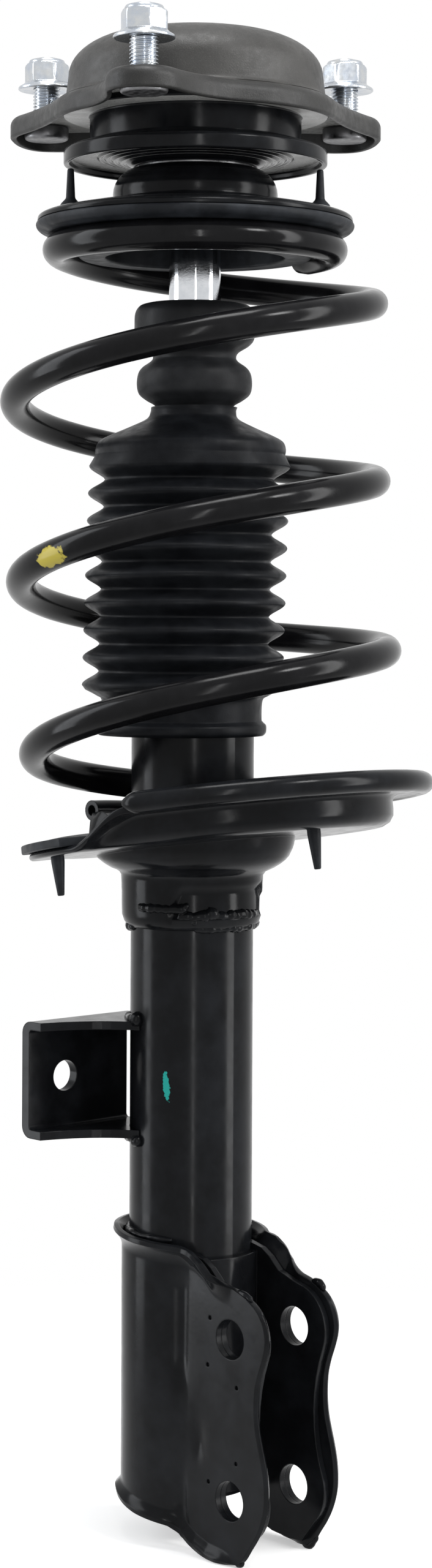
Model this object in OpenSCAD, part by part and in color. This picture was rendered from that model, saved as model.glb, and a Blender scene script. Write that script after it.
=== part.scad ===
// Loaded front strut: top mount with bearing, coil spring, bumper, boot, damper and brackets.
// Millimetres, +Z up along the rod axis, +X towards the knuckle bolts, +Y along those bolts.
// The origin is on the rod axis, in the plane of the flange that seats against the tower.

/* [Top mount] */
// Radius of the straight base of the dome, which centres the mount in the tower
pilot_r = 55; // [52:0.5:60]
// Height of that straight base
pilot_h = 6; // [4:0.5:9]
// Height of the dome above the seating plane
dome_h = 28; // [25:0.5:34]
// Radius of the opening over the rod nut
opening_r = 22; // [18:0.5:23.5]
// Sheet thickness of the mount pressings
mount_sheet = 3; // [2:0.25:3.5]
// Radius of the flange between its lobes
flange_r = 61; // [59:0.5:64]
// Thickness of the flange
flange_t = 4; // [3:0.5:5]
// Depth of the skirt round the flange, from the seating plane
skirt_h = 9.5; // [8:0.5:12]
// Radius of the circle on which the studs stand
stud_circle_r = 80; // [78:0.5:90]
// Radius of the lobe round each stud
lobe_r = 15; // [13.5:0.5:18]
// Thread diameter of the studs
stud_d = 12; // [8:1:12]
// Height of the stud tips above the seating plane
stud_h = 26; // [24:0.5:40]
// Diameter of the stud heads
stud_head_d = 19.5; // [16:0.5:21]
// Height of the nuts' seats above the seating plane, as they are run on
nut_seat_h = 12; // [2:0.5:12]
// Height of the flange nuts
nut_h = 14.5; // [10:0.5:16]
// Hexagon size of the flange nuts, across flats
nut_af = 17; // [15:0.5:19]
// Radius of the neck under the flange
neck_r = 45; // [44:0.5:48]
// Radius of the rimmed disc under the neck
disc_r = 56; // [53:0.5:60]

/* [Strut bearing] */
// Diameter of the balls
ball_d = 5; // [4:0.25:5.5]
// Number of balls
ball_count = 14; // [8:1:18]
// Radius of the ball circle
ball_circle_r = 19; // [18.5:0.25:20]

/* [Upper spring seat] */
// Drop of the top of the cup below the seating plane
cup_drop = 29; // [29:0.5:31]
// Outer radius of the cup
cup_r = 35; // [33:0.5:37]
// Depth of the cup down to the plate
cup_depth = 16; // [15.5:0.5:18]
// Radius of the seat plate
seat_plate_r = 67; // [66:0.5:72]
// Sheet thickness of the upper seat
seat_sheet = 2.5; // [2:0.25:3]
// Thickness of the rubber between plate and spring
upper_pad_t = 9.7; // [8:0.1:11]

/* [Coil spring] */
// Wire diameter
wire_d = 12.6; // [11:0.2:12.8]
// Mean radius of the end coils
end_coil_r = 58.5; // [57:0.5:59]
// Mean radius of the middle coils
mid_coil_r = 76; // [70:0.5:80]
// Turns from the upper to the lower end of the wire
turns = 4.44; // [4.4:0.01:4.5]
// Flat turns at the upper end
flat_turns_top = 0.8; // [0.74:0.01:0.86]
// Flat turns at the lower end
flat_turns_bottom = 0.44; // [0.4:0.01:0.5]
// Direction of the upper wire end, from +X
wire_end_angle = 85; // [60:1:110]
// Extra drop of the middle coils
mid_sag = 3.8; // [0:0.2:5]

/* [Bumper and boot] */
// Drop of the bumper's top below the seating plane
bumper_drop = 85; // [80:1:90]
// Length of the bumper
bumper_len = 76; // [74:1:90]
// Largest radius of the bumper
bumper_r = 25.5; // [22:0.5:28]
// Radius of the boot's ridges
ridge_r = 42.8; // [41:0.2:46]
// Radius of the boot's grooves
groove_r = 35.8; // [33:0.2:37]
// Pitch of the ridges
ridge_pitch = 11.6; // [10:0.2:11.8]
// Number of ridges
ridge_count = 9; // [6:1:9]
// Wall of the boot
boot_wall = 1.8; // [1.2:0.1:2.4]

/* [Damper] */
// Diameter of the piston rod
rod_d = 22; // [18:0.5:23]
// Diameter of the threaded rod end
rod_thread_d = 14; // [10:0.5:16]
// Diameter of the body tube
tube_d = 52; // [48:0.5:54]
// Wall of the body tube
tube_wall = 2; // [1.5:0.25:2.5]
// Drop of the top of the tube below the seating plane, at full extension
tube_drop = 211; // [205:1:225]
// Length of the tube
tube_len = 375; // [360:1:440]
// Bore of the pressure tube
pressure_bore = 32; // [28:0.5:34]
// Wall of the pressure tube
pressure_wall = 1.5; // [1:0.25:2]

/* [Lower spring seat] */
// Drop of the pan's rim plane below the seating plane, over the pan's centre
pan_drop = 292.6; // [285:0.2:300]
// Offset of the pan's centre from the rod axis
pan_offset = 18; // [12:0.5:20]
// Tilt of the pan, rising towards +X
pan_tilt = 8.7; // [6:0.1:9.5]
// Outer radius of the pan's wall
pan_wall_r = 71; // [70:0.5:73]
// Depth of the pan below its rim
pan_depth = 21; // [19:0.5:23]
// Sheet thickness of the pan
pan_sheet = 3; // [2.5:0.25:3.5]
// Radius of the rim's rolled bead, from the pan's centre to the middle of the bead
bead_circle_r = 84.5; // [82:0.5:88]
// Radius of the bead itself
bead_r = 4.5; // [4:0.25:5]
// Height of the collar under the pan
collar_h = 23; // [18:0.5:30]

/* [Link bracket] */
// Height of the link hole above the bottom of the tube
link_rise = 172.5; // [160:0.5:190]
// Diameter of the link hole
link_hole_d = 13; // [10:0.5:14]
// Height of the bracket
link_h = 49; // [44:0.5:56]
// Sheet thickness of the bracket
link_sheet = 3.5; // [3:0.25:4]
// Distance of the web from the rod axis
link_web_x = 40; // [38:0.5:44]

/* [Knuckle bracket] */
// Gap between the ears, which takes the knuckle
knuckle_gap = 31; // [28:0.5:33]
// Sheet thickness of bracket and liner
ear_sheet = 3; // [2.5:0.25:3.25]
// Diameter of the bolt holes
bolt_hole_d = 16.3; // [12.2:0.1:17]
// Distance of the bolt holes from the rod axis
bolt_x = 47; // [46:0.2:55]
// Spacing of the bolt holes
bolt_spacing = 66; // [60:0.5:70]
// Height of the lower bolt hole above the bottom of the tube
bolt_rise = 6; // [2:0.5:8]
// Radius of the ear round each bolt hole
ear_r = 20.5; // [18:0.5:22]
// Height of the sleeve round the tube
sleeve_h = 109; // [105:0.5:118]

/* [Hidden] */
$fn = 72;

// Clearances: static fits, running fits, and the air between pieces that turn past each other
fit = 0.05;
running_fit = 0.05;
air = 0.5;
// Overrun of cutters past the faces that they open
cut = 1;

// Colours
steel_black = [0.07, 0.07, 0.08];
mount_grey = [0.20, 0.19, 0.18];
rubber_black = [0.09, 0.09, 0.10];
zinc = [0.62, 0.65, 0.70];
chrome = [0.80, 0.81, 0.83];
plain_steel = [0.55, 0.55, 0.57];
polymer = [0.75, 0.72, 0.62];

// Top mount
stud_angles = [82, 192, 302];
lobe_fillets = [200, 200, 30];
dome_lean = 13;
shoulder_z = 10;
dome_flat_r = 24;
stud_r = stud_d / 2;
stud_head_z = -10;
knurl_r = stud_r + 0.4;
thread_core_r = stud_r - 0.2;
shank_top_z = nut_seat_h - 0.5;
nut_flange_r = 12.5;
nut_flange_t = 3;
core_top_z = 4;
core_bottom_z = -20;
core_wall = 5.4;
core_flange_r = 26;
core_flange_z = -8;
core_flange_t = 3;
washer_r = 19;
washer_t = 3;
rod_nut_h = 13;
rod_nut_af = 21;
rod_tip_z = core_top_z + washer_t + rod_nut_h + 3;
mount_floor_z = -14;
mount_plate_t = 3;
base_flange_r = flange_r - mount_sheet - 1.5;
neck_bottom_z = -19;
disc_top_z = -21;
disc_lip_z = -25.5;
disc_lip_t = 2.5;
dome_in_r = pilot_r - mount_sheet;
rod_r = rod_d / 2;
thread_r = rod_thread_d / 2;
core_r = thread_r + fit + core_wall;

// Strut bearing
ball_r = ball_d / 2;
ball_z = -23.2;
race_groove_r = ball_r + 0.15;
race_lip = 1.7;
race_in_r = 14;
race_out_r = 23.7;
cage_t = 2;
cage_half_w = 3.4;
shroud_t = 2.2;
shroud_in_r = race_out_r + air;

// Upper spring seat and the pad under it
cup_top_z = -cup_drop;
plate_top_z = cup_top_z - cup_depth;
plate_bottom_z = plate_top_z - seat_sheet;
seat_rim_h = 3;
seat_rim_z = plate_top_z - seat_rim_h;
cup_flare = 4;
cup_round = 11;
pad_mouth_r = 38;
pad_r = seat_plate_r + 0.5;
pad_bulge_drop = 3;
pad_taper = 3;
pad_bottom_z = plate_bottom_z - upper_pad_t;
pad_collar_gap = 1.7;
pad_collar_h = 10;
peg_circle_r = 53;
peg_angles = [47, 227];
peg_r = 3;
peg_shaft_r = 2.2;
peg_tip_r = 1.6;
peg_foot_r = 4.5;
peg_foot_h = 3.5;
peg_tip_z = disc_lip_z - 0.7;

// Coil spring
wire_r = wire_d / 2;
rings_per_turn = 40;
ring_sides = 10;
ease_turns = 0.25;
sag_turns = 0.5;
sag_from = 1.1;
sag_to = turns - 1.34;
widen_from = 0.65;
widen_to = 1.1;
narrow_from = turns - 0.84;
narrow_to = turns - 0.52;
wire_seat_gap = 0.4;
pan_floor_t = pan_sheet;
lower_pad_t = 3.5;
coil_top_z = pad_bottom_z - wire_r;
coil_end_local_z = -pan_depth + pan_floor_t + lower_pad_t + wire_seat_gap + wire_r;
coil_end_z = -pan_drop + coil_end_local_z / cos(pan_tilt);
coil_span = coil_top_z - coil_end_z;
lift_start = flat_turns_top;
lift_end = turns - flat_turns_bottom;
rise_per_turn = coil_span / (lift_end - lift_start);

// Bumper and boot
bumper_bore_r = rod_r + 0.3;
boot_neck_r = 18.3;
boot_neck_drop = 47;
boot_neck_h = 4;
first_ridge_drop = 70;
boot_shoulder_r = 40;
boot_collar_r = 34;
boot_bead_r = 36;

// Damper
tube_r = tube_d / 2;
tube_in_r = tube_r - tube_wall;
tube_top_z = -tube_drop;
tube_bottom_z = tube_top_z - tube_len;
cap_t = 3;
cap_skirt_h = 12;
cap_wall = 1.5;
seal_t = 6;
guide_len = 23;
guide_spigot = 4;
bush_wall = 1.5;
bush_end_gap = 1;
pressure_in_r = pressure_bore / 2;
pressure_out_r = pressure_in_r + pressure_wall;
seal_top_z = tube_top_z;
guide_top_z = seal_top_z - seal_t;
guide_bottom_z = guide_top_z - guide_len;
stop_gap = 0.3;
stop_len = 12;
stop_wall = 4.3;
stop_top_z = guide_bottom_z - stop_gap;
piston_top_z = stop_top_z - 34;
piston_len = 22;
piston_bottom_z = piston_top_z - piston_len;
piston_nut_h = 10;
piston_nut_af = 19;
piston_spigot_r = 6;
piston_relief = 0.5;
band_t = 1.2;
band_w = 10;
rod_bottom_z = piston_bottom_z - piston_nut_h - 4;
base_cap_t = 4;
valve_foot_h = 6;
valve_flange_t = 3;
valve_plug_h = 6;
valve_port_r = 2.2;
valve_port_circle_r = 10;
valve_port_count = 6;
base_cap_top_z = tube_bottom_z + base_cap_t;
valve_flange_z = base_cap_top_z + valve_foot_h;
pressure_bottom_z = valve_flange_z + valve_flange_t;
pressure_top_z = guide_bottom_z + guide_spigot;

// Lower spring seat, in the pan's own tilted frame where that is said
pan_floor_z = -pan_depth;
ledge_z = -8.5;
bead_z = -bead_r;
tongue_r = 83;
rim_from = -69;
ledge_from = -78;
tongue_to = -91;
wall_end = -180;
hub_mouth_r = 42;
hub_mouth_drop = 311;
hub_foot_r = 31;
hub_foot_drop = 327;
collar_wall = 3;
window_w = 11;
window_h = 15;
window_angle = -41;
pan_seam = 0.3;
collar_bottom_z = -hub_foot_drop - collar_h;
hub_overrun = 13;
hub_top_z = -hub_mouth_drop + hub_overrun;
hub_slope = (hub_mouth_r - hub_foot_r) / (hub_foot_drop - hub_mouth_drop);
hub_top_r = hub_mouth_r + hub_overrun * hub_slope;

// Lower isolator, in the pan's frame
lower_pad_in_r = 49;
lining_t = 2;
lining_top_z = -7;
tongue_pad_r = 86;
pad_peg_r = 2.8;
pad_peg_tip_r = 1.4;
pad_peg_len = 16;
pad_peg_places = [[75, -112], [56, -4]];

// Link bracket
link_z = tube_bottom_z + link_rise;
link_bend_r = 5;
link_y_near = -60;
link_y_far = -5;
link_hole_y = -40;
link_end_w = 12;
link_hip = [-22, -36];
link_root = [-4, -tube_r - 0.3];

// Knuckle bracket
bolt_low_z = tube_bottom_z + bolt_rise;
bolt_high_z = bolt_low_z + bolt_spacing;
waist_x = bolt_x + 14.2;
ear_corner = 48;
liner_y = knuckle_gap / 2;
ear_y = liner_y + ear_sheet;
ear_face_y = ear_y + ear_sheet;
sleeve_wall = 3.35;
sleeve_flare = 3.4;
sleeve_flare_h = 5.5;
sleeve_top_z = tube_bottom_z + sleeve_h;
fold_w = 6;
liner_inset = 2.5;
liner_top_drop = 9;
press_x = 28;
press_z = bolt_low_z + bolt_spacing / 2;
press_half = 3.5;
press_depth = 1;
press_r = 3;

// Points of an arc without its last one, so that arcs join end to end
function arc(c, r, from, to, n) = [
    for (i = [0:n - 1])
        let (a = from + (to - from) * i / n)
        c + r * [cos(a), sin(a)]
];

// Smooth step from 0 to 1
function ease(t) = let (k = min(1, max(0, t))) k * k * (3 - 2 * k);

// Zero, then a rounded bend over 2w, then x
function soft(x, w) = x < -w ? 0 : x > w ? x : (x + w) * (x + w) / (4 * w);

// Outline through [drop, radius] waypoints, eased between them, as [radius, z] below top_z
function eased_profile(way, top_z, steps) = [
    for (k = [0:len(way) - 2], i = [0:steps - 1])
        let (t = i / steps, w = (1 - cos(180 * t)) / 2)
        [
            way[k][1] + (way[k + 1][1] - way[k][1]) * w,
            top_z - way[k][0] - (way[k + 1][0] - way[k][0]) * t
        ]
];

module polar(r, a, z = 0) {
    rotate([0, 0, a]) translate([r, 0, z]) children();
}

// Ring of rectangular section
module ring(r_out, r_in, z_low, z_high) {
    rotate_extrude() polygon([[r_in, z_low], [r_out, z_low], [r_out, z_high], [r_in, z_high]]);
}

module hexagon(across_flats, z, h) {
    translate([0, 0, z]) cylinder(d = across_flats / cos(30), h = h, $fn = 6);
}

// Angle between a lobe and the middle of its fillets, and half the turn of the lobe's own arc
function lobe_spread(i) =
    let (reach = flange_r + lobe_fillets[i])
    acos((pow(reach, 2) + pow(stud_circle_r, 2) - pow(lobe_r + lobe_fillets[i], 2))
        / (2 * reach * stud_circle_r));

function lobe_turn(i) =
    let (reach = flange_r + lobe_fillets[i], spread = lobe_spread(i))
    atan2(reach * sin(spread), stud_circle_r - reach * cos(spread));

// Flange: a disc with one lobe per stud, joined by concave fillets
function flange_outline(inset) = [
    for (i = [0:len(stud_angles) - 1])
        let (
            a = stud_angles[i],
            n = (i + 1) % len(stud_angles),
            next = stud_angles[n] + (n == 0 ? 360 : 0) - lobe_spread(n),
            fillet = lobe_fillets[i] + inset,
            reach = flange_r + lobe_fillets[i],
            spread = lobe_spread(i),
            turn = lobe_turn(i),
            before = a - spread,
            after = a + spread
        )
        each concat(
            arc(reach * [cos(before), sin(before)], fillet, before + 180, a + turn, 6),
            arc(stud_circle_r * [cos(a), sin(a)], lobe_r - inset, a - 180 + turn, a + 180 - turn, 16),
            arc(reach * [cos(after), sin(after)], fillet, a - turn, after - 180, 6),
            arc([0, 0], flange_r - inset, after, next, 12)
        )
];

// Half of the dome's section, from its shoulder to its flat top
function dome_arc(r, h, from, to) = [
    for (i = [0:12])
        let (a = from + (to - from) * i / 12)
        [dome_flat_r + (r - dome_flat_r) * cos(a), shoulder_z + (h - shoulder_z) * sin(a)]
];

module mount_housing() color(mount_grey) {
    shoulder_r = pilot_r - (shoulder_z - pilot_h) * tan(dome_lean);
    difference() {
        union() {
            translate([0, 0, -flange_t]) linear_extrude(flange_t) difference() {
                polygon(flange_outline(0));
                circle(pilot_r - mount_sheet / 2);
            }
            translate([0, 0, -skirt_h]) linear_extrude(skirt_h - flange_t / 2) difference() {
                polygon(flange_outline(0));
                polygon(flange_outline(mount_sheet));
            }
            rotate_extrude() polygon(concat(
                [[dome_in_r, -flange_t], [pilot_r, -flange_t], [pilot_r, pilot_h]],
                dome_arc(shoulder_r, dome_h, 0, 90),
                [[opening_r, dome_h], [opening_r, dome_h - mount_sheet]],
                dome_arc(shoulder_r - mount_sheet, dome_h - mount_sheet, 90, 0),
                [[dome_in_r, pilot_h]]
            ));
        }
        for (a = stud_angles)
            polar(stud_circle_r, a, -flange_t - cut) cylinder(r = knurl_r + fit, h = flange_t + 2 * cut);
    }
}

module mount_core() color(plain_steel) {
    difference() {
        union() {
            translate([0, 0, core_bottom_z]) cylinder(r = core_r, h = core_top_z - core_bottom_z);
            translate([0, 0, core_flange_z]) cylinder(r = core_flange_r, h = core_flange_t);
        }
        translate([0, 0, core_bottom_z - cut])
            cylinder(r = thread_r + fit, h = core_top_z - core_bottom_z + 2 * cut);
    }
}

module mount_rubber() color(rubber_black) {
    neck_in_r = neck_r - mount_plate_t;
    collar_z = core_top_z - 2;
    difference() {
        rotate_extrude() polygon([
            [core_r, mount_floor_z], [neck_in_r, mount_floor_z], [neck_in_r, -flange_t],
            [dome_in_r, -flange_t], [dome_in_r, pilot_h], [dome_in_r - 6, pilot_h + 4],
            [core_flange_r + 4, pilot_h + 1], [core_r + 3, collar_z], [core_r, collar_z]
        ]);
        translate([0, 0, core_flange_z]) cylinder(r = core_flange_r, h = core_flange_t);
    }
}

module mount_base_plate() color(steel_black) {
    shroud_out_r = shroud_in_r + shroud_t;
    shroud_z = cup_top_z + air;
    step_z = disc_top_z - mount_plate_t;
    rotate_extrude() polygon([
        [neck_r - mount_plate_t, -flange_t], [base_flange_r, -flange_t],
        [base_flange_r, -flange_t - mount_plate_t], [neck_r, -flange_t - mount_plate_t],
        [neck_r, neck_bottom_z], [neck_r + 2, disc_top_z], [disc_r - 1, disc_top_z],
        [disc_r, disc_top_z - 1], [disc_r, disc_lip_z], [disc_r - disc_lip_t, disc_lip_z],
        [disc_r - disc_lip_t, step_z], [neck_r - 4, step_z], [neck_r - 6, step_z - 1.5],
        [neck_r - 12, step_z - 1.5], [shroud_out_r + 1, step_z - 3], [shroud_out_r, step_z - 4],
        [shroud_out_r, shroud_z], [shroud_in_r, shroud_z],
        [shroud_in_r, mount_floor_z - mount_plate_t], [race_in_r, mount_floor_z - mount_plate_t],
        [race_in_r, mount_floor_z], [neck_r - mount_plate_t, mount_floor_z]
    ]);
}

// Press-in stud: round head, knurl in the flange, plain shank up to the nut, then thread
module mount_studs() color(zinc) {
    tip = 1.5;
    for (a = stud_angles)
        polar(stud_circle_r, a) rotate_extrude() polygon([
            [0, stud_head_z], [stud_head_d / 2 - 1, stud_head_z], [stud_head_d / 2, stud_head_z + 1],
            [stud_head_d / 2, -flange_t], [knurl_r, -flange_t], [knurl_r, 0], [stud_r, 0],
            [stud_r, shank_top_z], [thread_core_r, shank_top_z], [thread_core_r, stud_h - tip],
            [thread_core_r - tip, stud_h], [0, stud_h]
        ]);
}

module flange_nut() {
    corner_r = nut_af / 2 / cos(30);
    difference() {
        union() {
            intersection() {
                hexagon(nut_af, nut_seat_h, nut_h);
                rotate_extrude() polygon([
                    [0, nut_seat_h], [corner_r, nut_seat_h], [corner_r, nut_seat_h + nut_h - 1],
                    [nut_af / 2 - 0.5, nut_seat_h + nut_h], [0, nut_seat_h + nut_h]
                ]);
            }
            rotate_extrude() polygon([
                [0, nut_seat_h], [nut_flange_r, nut_seat_h], [nut_flange_r, nut_seat_h + 1],
                [corner_r, nut_seat_h + nut_flange_t], [0, nut_seat_h + nut_flange_t]
            ]);
        }
        translate([0, 0, nut_seat_h - cut])
            cylinder(r = thread_core_r + running_fit, h = nut_h + 2 * cut);
    }
}

module tower_nuts() color(zinc) {
    for (a = stud_angles) polar(stud_circle_r, a) flange_nut();
}

module rod_washer() color(zinc) {
    ring(washer_r, thread_r + fit, core_top_z, core_top_z + washer_t);
}

module rod_nut() color(zinc) {
    z = core_top_z + washer_t;
    difference() {
        hexagon(rod_nut_af, z, rod_nut_h);
        translate([0, 0, z - cut]) cylinder(r = thread_r + fit, h = rod_nut_h + 2 * cut);
    }
}

// Groove in which the balls run
module raceway() {
    rotate_extrude() translate([ball_circle_r, ball_z]) circle(race_groove_r);
}

module bearing_upper_race() color(plain_steel) {
    difference() {
        ring(shroud_in_r - fit, race_in_r, ball_z + race_lip, mount_floor_z - mount_plate_t);
        raceway();
    }
}

module bearing_lower_race() color(plain_steel) {
    difference() {
        ring(race_out_r, race_in_r, cup_top_z, ball_z - race_lip);
        raceway();
    }
}

module bearing_cage() color(polymer) {
    low_z = ball_z - cage_t / 2;
    difference() {
        ring(ball_circle_r + cage_half_w, ball_circle_r - cage_half_w, low_z, low_z + cage_t);
        for (i = [0:ball_count - 1])
            polar(ball_circle_r, i * 360 / ball_count, low_z - cut)
                cylinder(r = ball_r + 0.1, h = cage_t + 2 * cut);
    }
}

module bearing_balls() color(chrome) {
    for (i = [0:ball_count - 1])
        polar(ball_circle_r, i * 360 / ball_count, ball_z) sphere(ball_r);
}

module upper_spring_seat() color(steel_black) {
    cup_in_r = cup_r - seat_sheet;
    rod_hole_r = rod_r + 1.5;
    cup_shoulder = [cup_r - cup_round, cup_top_z - cup_round];
    difference() {
        rotate_extrude() polygon([
            [rod_hole_r, cup_top_z], each arc(cup_shoulder, cup_round, 90, 0, 8),
            [cup_r, cup_top_z - cup_round],
            [cup_r, plate_top_z + cup_flare], [cup_r + cup_flare, plate_top_z],
            [seat_plate_r - 1, plate_top_z], [seat_plate_r, plate_top_z - 1],
            [seat_plate_r, seat_rim_z], [seat_plate_r - seat_sheet, seat_rim_z],
            [seat_plate_r - seat_sheet, plate_bottom_z], [cup_r + cup_flare - 1, plate_bottom_z],
            [cup_in_r, plate_top_z + cup_flare - 1],
            each arc(cup_shoulder, cup_round - seat_sheet, 0, 90, 8),
            [cup_shoulder[0], cup_top_z - seat_sheet], [rod_hole_r, cup_top_z - seat_sheet]
        ]);
        for (a = peg_angles)
            polar(peg_circle_r, a, plate_bottom_z - cut)
                cylinder(r = peg_r + fit, h = seat_sheet + 2 * cut);
    }
}

// Rubber under the plate, with a collar inside the upper coil and two pegs through the plate
module upper_isolator() color(rubber_black) {
    pad_collar_r = end_coil_r - wire_r - pad_collar_gap;
    rotate_extrude() polygon([
        [pad_mouth_r, plate_bottom_z], [seat_plate_r - seat_sheet - fit, plate_bottom_z],
        [seat_plate_r - seat_sheet - fit, seat_rim_z], [seat_plate_r, seat_rim_z],
        [pad_r, seat_rim_z - pad_bulge_drop], [pad_r - pad_taper, pad_bottom_z],
        [pad_collar_r, pad_bottom_z], [pad_collar_r, pad_bottom_z - pad_collar_h + 2],
        [pad_collar_r - 2, pad_bottom_z - pad_collar_h], [pad_mouth_r, pad_bottom_z - pad_collar_h]
    ]);
    for (a = peg_angles)
        polar(peg_circle_r, a) rotate_extrude() polygon([
            [0, plate_bottom_z - 1], [peg_r, plate_bottom_z - 1], [peg_r, plate_top_z],
            [peg_foot_r, plate_top_z], [peg_foot_r - 0.5, plate_top_z + 0.8],
            [peg_shaft_r, plate_top_z + peg_foot_h], [peg_tip_r, peg_tip_z], [0, peg_tip_z]
        ]);
}

// Coil spring: flat end coils of small radius, wide coils between them, on an axis that bends
// from square under the upper seat to square on the tilted pan
function coil_z(u) =
    coil_top_z - rise_per_turn * (soft(u - lift_start, ease_turns) - soft(u - lift_end, ease_turns))
        - mid_sag * (ease((u - sag_from) / sag_turns) - ease((u - sag_to) / sag_turns));

function coil_r(u) =
    end_coil_r + (mid_coil_r - end_coil_r)
        * (ease((u - widen_from) / (widen_to - widen_from))
            - ease((u - narrow_from) / (narrow_to - narrow_from)));

function coil_point(u) =
    let (
        z = coil_z(u),
        s = (coil_top_z - z) / coil_span,
        lean = pan_tilt * s,
        r = coil_r(u),
        a = wire_end_angle - 360 * u
    )
    [pan_offset * s * s + r * cos(a) * cos(lean), r * sin(a), z + r * cos(a) * sin(lean)];

function unit(v) = v / norm(v);

function coil_ring(u) =
    let (
        step = 0.5 / rings_per_turn,
        along = unit(coil_point(u + step) - coil_point(u - step)),
        side = unit(cross(along, [0, 0, 1])),
        up = cross(side, along)
    )
    [
        for (j = [0:ring_sides - 1])
            let (a = 360 * j / ring_sides)
            coil_point(u) + wire_r * (cos(a) * side + sin(a) * up)
    ];

coil_rings = round(turns * rings_per_turn);
coil_centres = [for (i = [0:coil_rings]) coil_point(turns * i / coil_rings)];
apart = floor(0.6 * rings_per_turn);
least_coil_gap = min([
    for (i = [0:coil_rings - apart], j = [i + apart:coil_rings])
        norm(coil_centres[i] - coil_centres[j])
]) - wire_d;
echo(least_coil_gap = least_coil_gap);

module coil_spring() color(steel_black) {
    n = ring_sides;
    polyhedron(
        points = [for (i = [0:coil_rings]) each coil_ring(turns * i / coil_rings)],
        faces = concat(
            [[for (j = [0:n - 1]) j]],
            [
                for (i = [0:coil_rings - 1], j = [0:n - 1])
                    let (k = (j + 1) % n)
                    [i * n + j, (i + 1) * n + j, (i + 1) * n + k, i * n + k]
            ],
            [[for (j = [n - 1:-1:0]) coil_rings * n + j]]
        ),
        convexity = 8
    );
}

module jounce_bumper() color(rubber_black) {
    way = [
        [0, bumper_r - 3.5], [3.5, bumper_r], [17, bumper_r], [24, bumper_r - 8], [36, bumper_r - 1.5],
        [boot_neck_drop - boot_neck_h / 2, boot_neck_r - boot_wall],
        [boot_neck_drop + boot_neck_h / 2, boot_neck_r - boot_wall],
        [bumper_len - 18, bumper_r - 4], [bumper_len - 6, bumper_r - 5], [bumper_len, bumper_r - 8]
    ];
    bottom_z = -bumper_drop - bumper_len;
    rotate_extrude() polygon(concat(
        [[bumper_bore_r, -bumper_drop]],
        eased_profile(way, -bumper_drop, 4),
        [[bumper_r - 8, bottom_z], [bumper_bore_r, bottom_z]]
    ));
}

// Outer line of the boot from its neck to its lower edge, as [radius, z]
function boot_line() =
    let (
        neck_z = -bumper_drop - boot_neck_drop,
        first_z = -bumper_drop - first_ridge_drop,
        last_z = first_z - (ridge_count - 1) * ridge_pitch,
        mid = (ridge_r + groove_r) / 2,
        swing = (ridge_r - groove_r) / 2,
        steps = 8
    )
    concat(
        [
            [boot_neck_r, neck_z + boot_neck_h / 2], [boot_neck_r, neck_z - boot_neck_h / 2],
            [boot_shoulder_r - 3, neck_z - 11], [boot_shoulder_r, neck_z - 14],
            [boot_shoulder_r, neck_z - 18]
        ],
        [
            for (i = [0:(ridge_count - 1) * steps])
                [mid + swing * cos(360 * i / steps), first_z - ridge_pitch * i / steps]
        ],
        [
            [boot_collar_r + 2, last_z - 4], [boot_collar_r, last_z - 5.5],
            [boot_collar_r, last_z - 15], [boot_bead_r, last_z - 17],
            [boot_bead_r, last_z - 20], [boot_bead_r - 1, last_z - 21.2]
        ]
    );

module dust_boot() color(rubber_black) {
    line = boot_line();
    rotate_extrude() polygon(concat(
        line,
        [for (i = [len(line) - 1:-1:0]) line[i] - [boot_wall, 0]]
    ));
}

module piston_rod() color(chrome) {
    tip = 1.5;
    rotate_extrude() polygon([
        [0, rod_bottom_z], [piston_spigot_r, rod_bottom_z], [piston_spigot_r, piston_top_z],
        [rod_r, piston_top_z], [rod_r, core_bottom_z], [thread_r, core_bottom_z],
        [thread_r, rod_tip_z - tip], [thread_r - tip, rod_tip_z], [0, rod_tip_z]
    ]);
}

module rebound_stop() color(rubber_black) {
    ring(rod_r + stop_wall, rod_r + fit, stop_top_z - stop_len, stop_top_z);
}

module piston() color(plain_steel) {
    body_r = pressure_in_r - piston_relief;
    band_mid_z = (piston_top_z + piston_bottom_z) / 2;
    difference() {
        ring(body_r, piston_spigot_r + fit, piston_bottom_z, piston_top_z);
        ring(body_r + cut, pressure_in_r - running_fit - band_t, band_mid_z - band_w / 2,
            band_mid_z + band_w / 2);
    }
}

module piston_band() color(polymer) {
    band_mid_z = (piston_top_z + piston_bottom_z) / 2;
    band_r = pressure_in_r - running_fit;
    ring(band_r, band_r - band_t, band_mid_z - band_w / 2, band_mid_z + band_w / 2);
}

module piston_nut() color(plain_steel) {
    z = piston_bottom_z - piston_nut_h;
    difference() {
        hexagon(piston_nut_af, z, piston_nut_h);
        translate([0, 0, z - cut]) cylinder(r = piston_spigot_r + fit, h = piston_nut_h + 2 * cut);
    }
}

module outer_tube() color(steel_black) {
    ring(tube_r, tube_in_r, tube_bottom_z, tube_top_z);
}

module tube_cap() color(polymer) {
    rotate_extrude() polygon([
        [rod_r + 1, tube_top_z], [tube_r + fit, tube_top_z],
        [tube_r + fit, tube_top_z - cap_skirt_h], [tube_r + cap_wall, tube_top_z - cap_skirt_h],
        [tube_r + cap_wall, tube_top_z + cap_t - 1], [tube_r + cap_wall - 1, tube_top_z + cap_t],
        [rod_r + 1, tube_top_z + cap_t]
    ]);
}

module rod_seal() color(rubber_black) {
    ring(tube_in_r - fit, rod_r + running_fit, guide_top_z, seal_top_z);
}

module rod_guide() color(plain_steel) {
    bore_r = rod_r + running_fit + bush_wall + fit;
    spigot_r = pressure_in_r - fit;
    rotate_extrude() polygon([
        [bore_r, guide_top_z], [tube_in_r - fit, guide_top_z], [tube_in_r - fit, pressure_top_z],
        [spigot_r, pressure_top_z], [spigot_r, guide_bottom_z], [bore_r, guide_bottom_z]
    ]);
}

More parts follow.
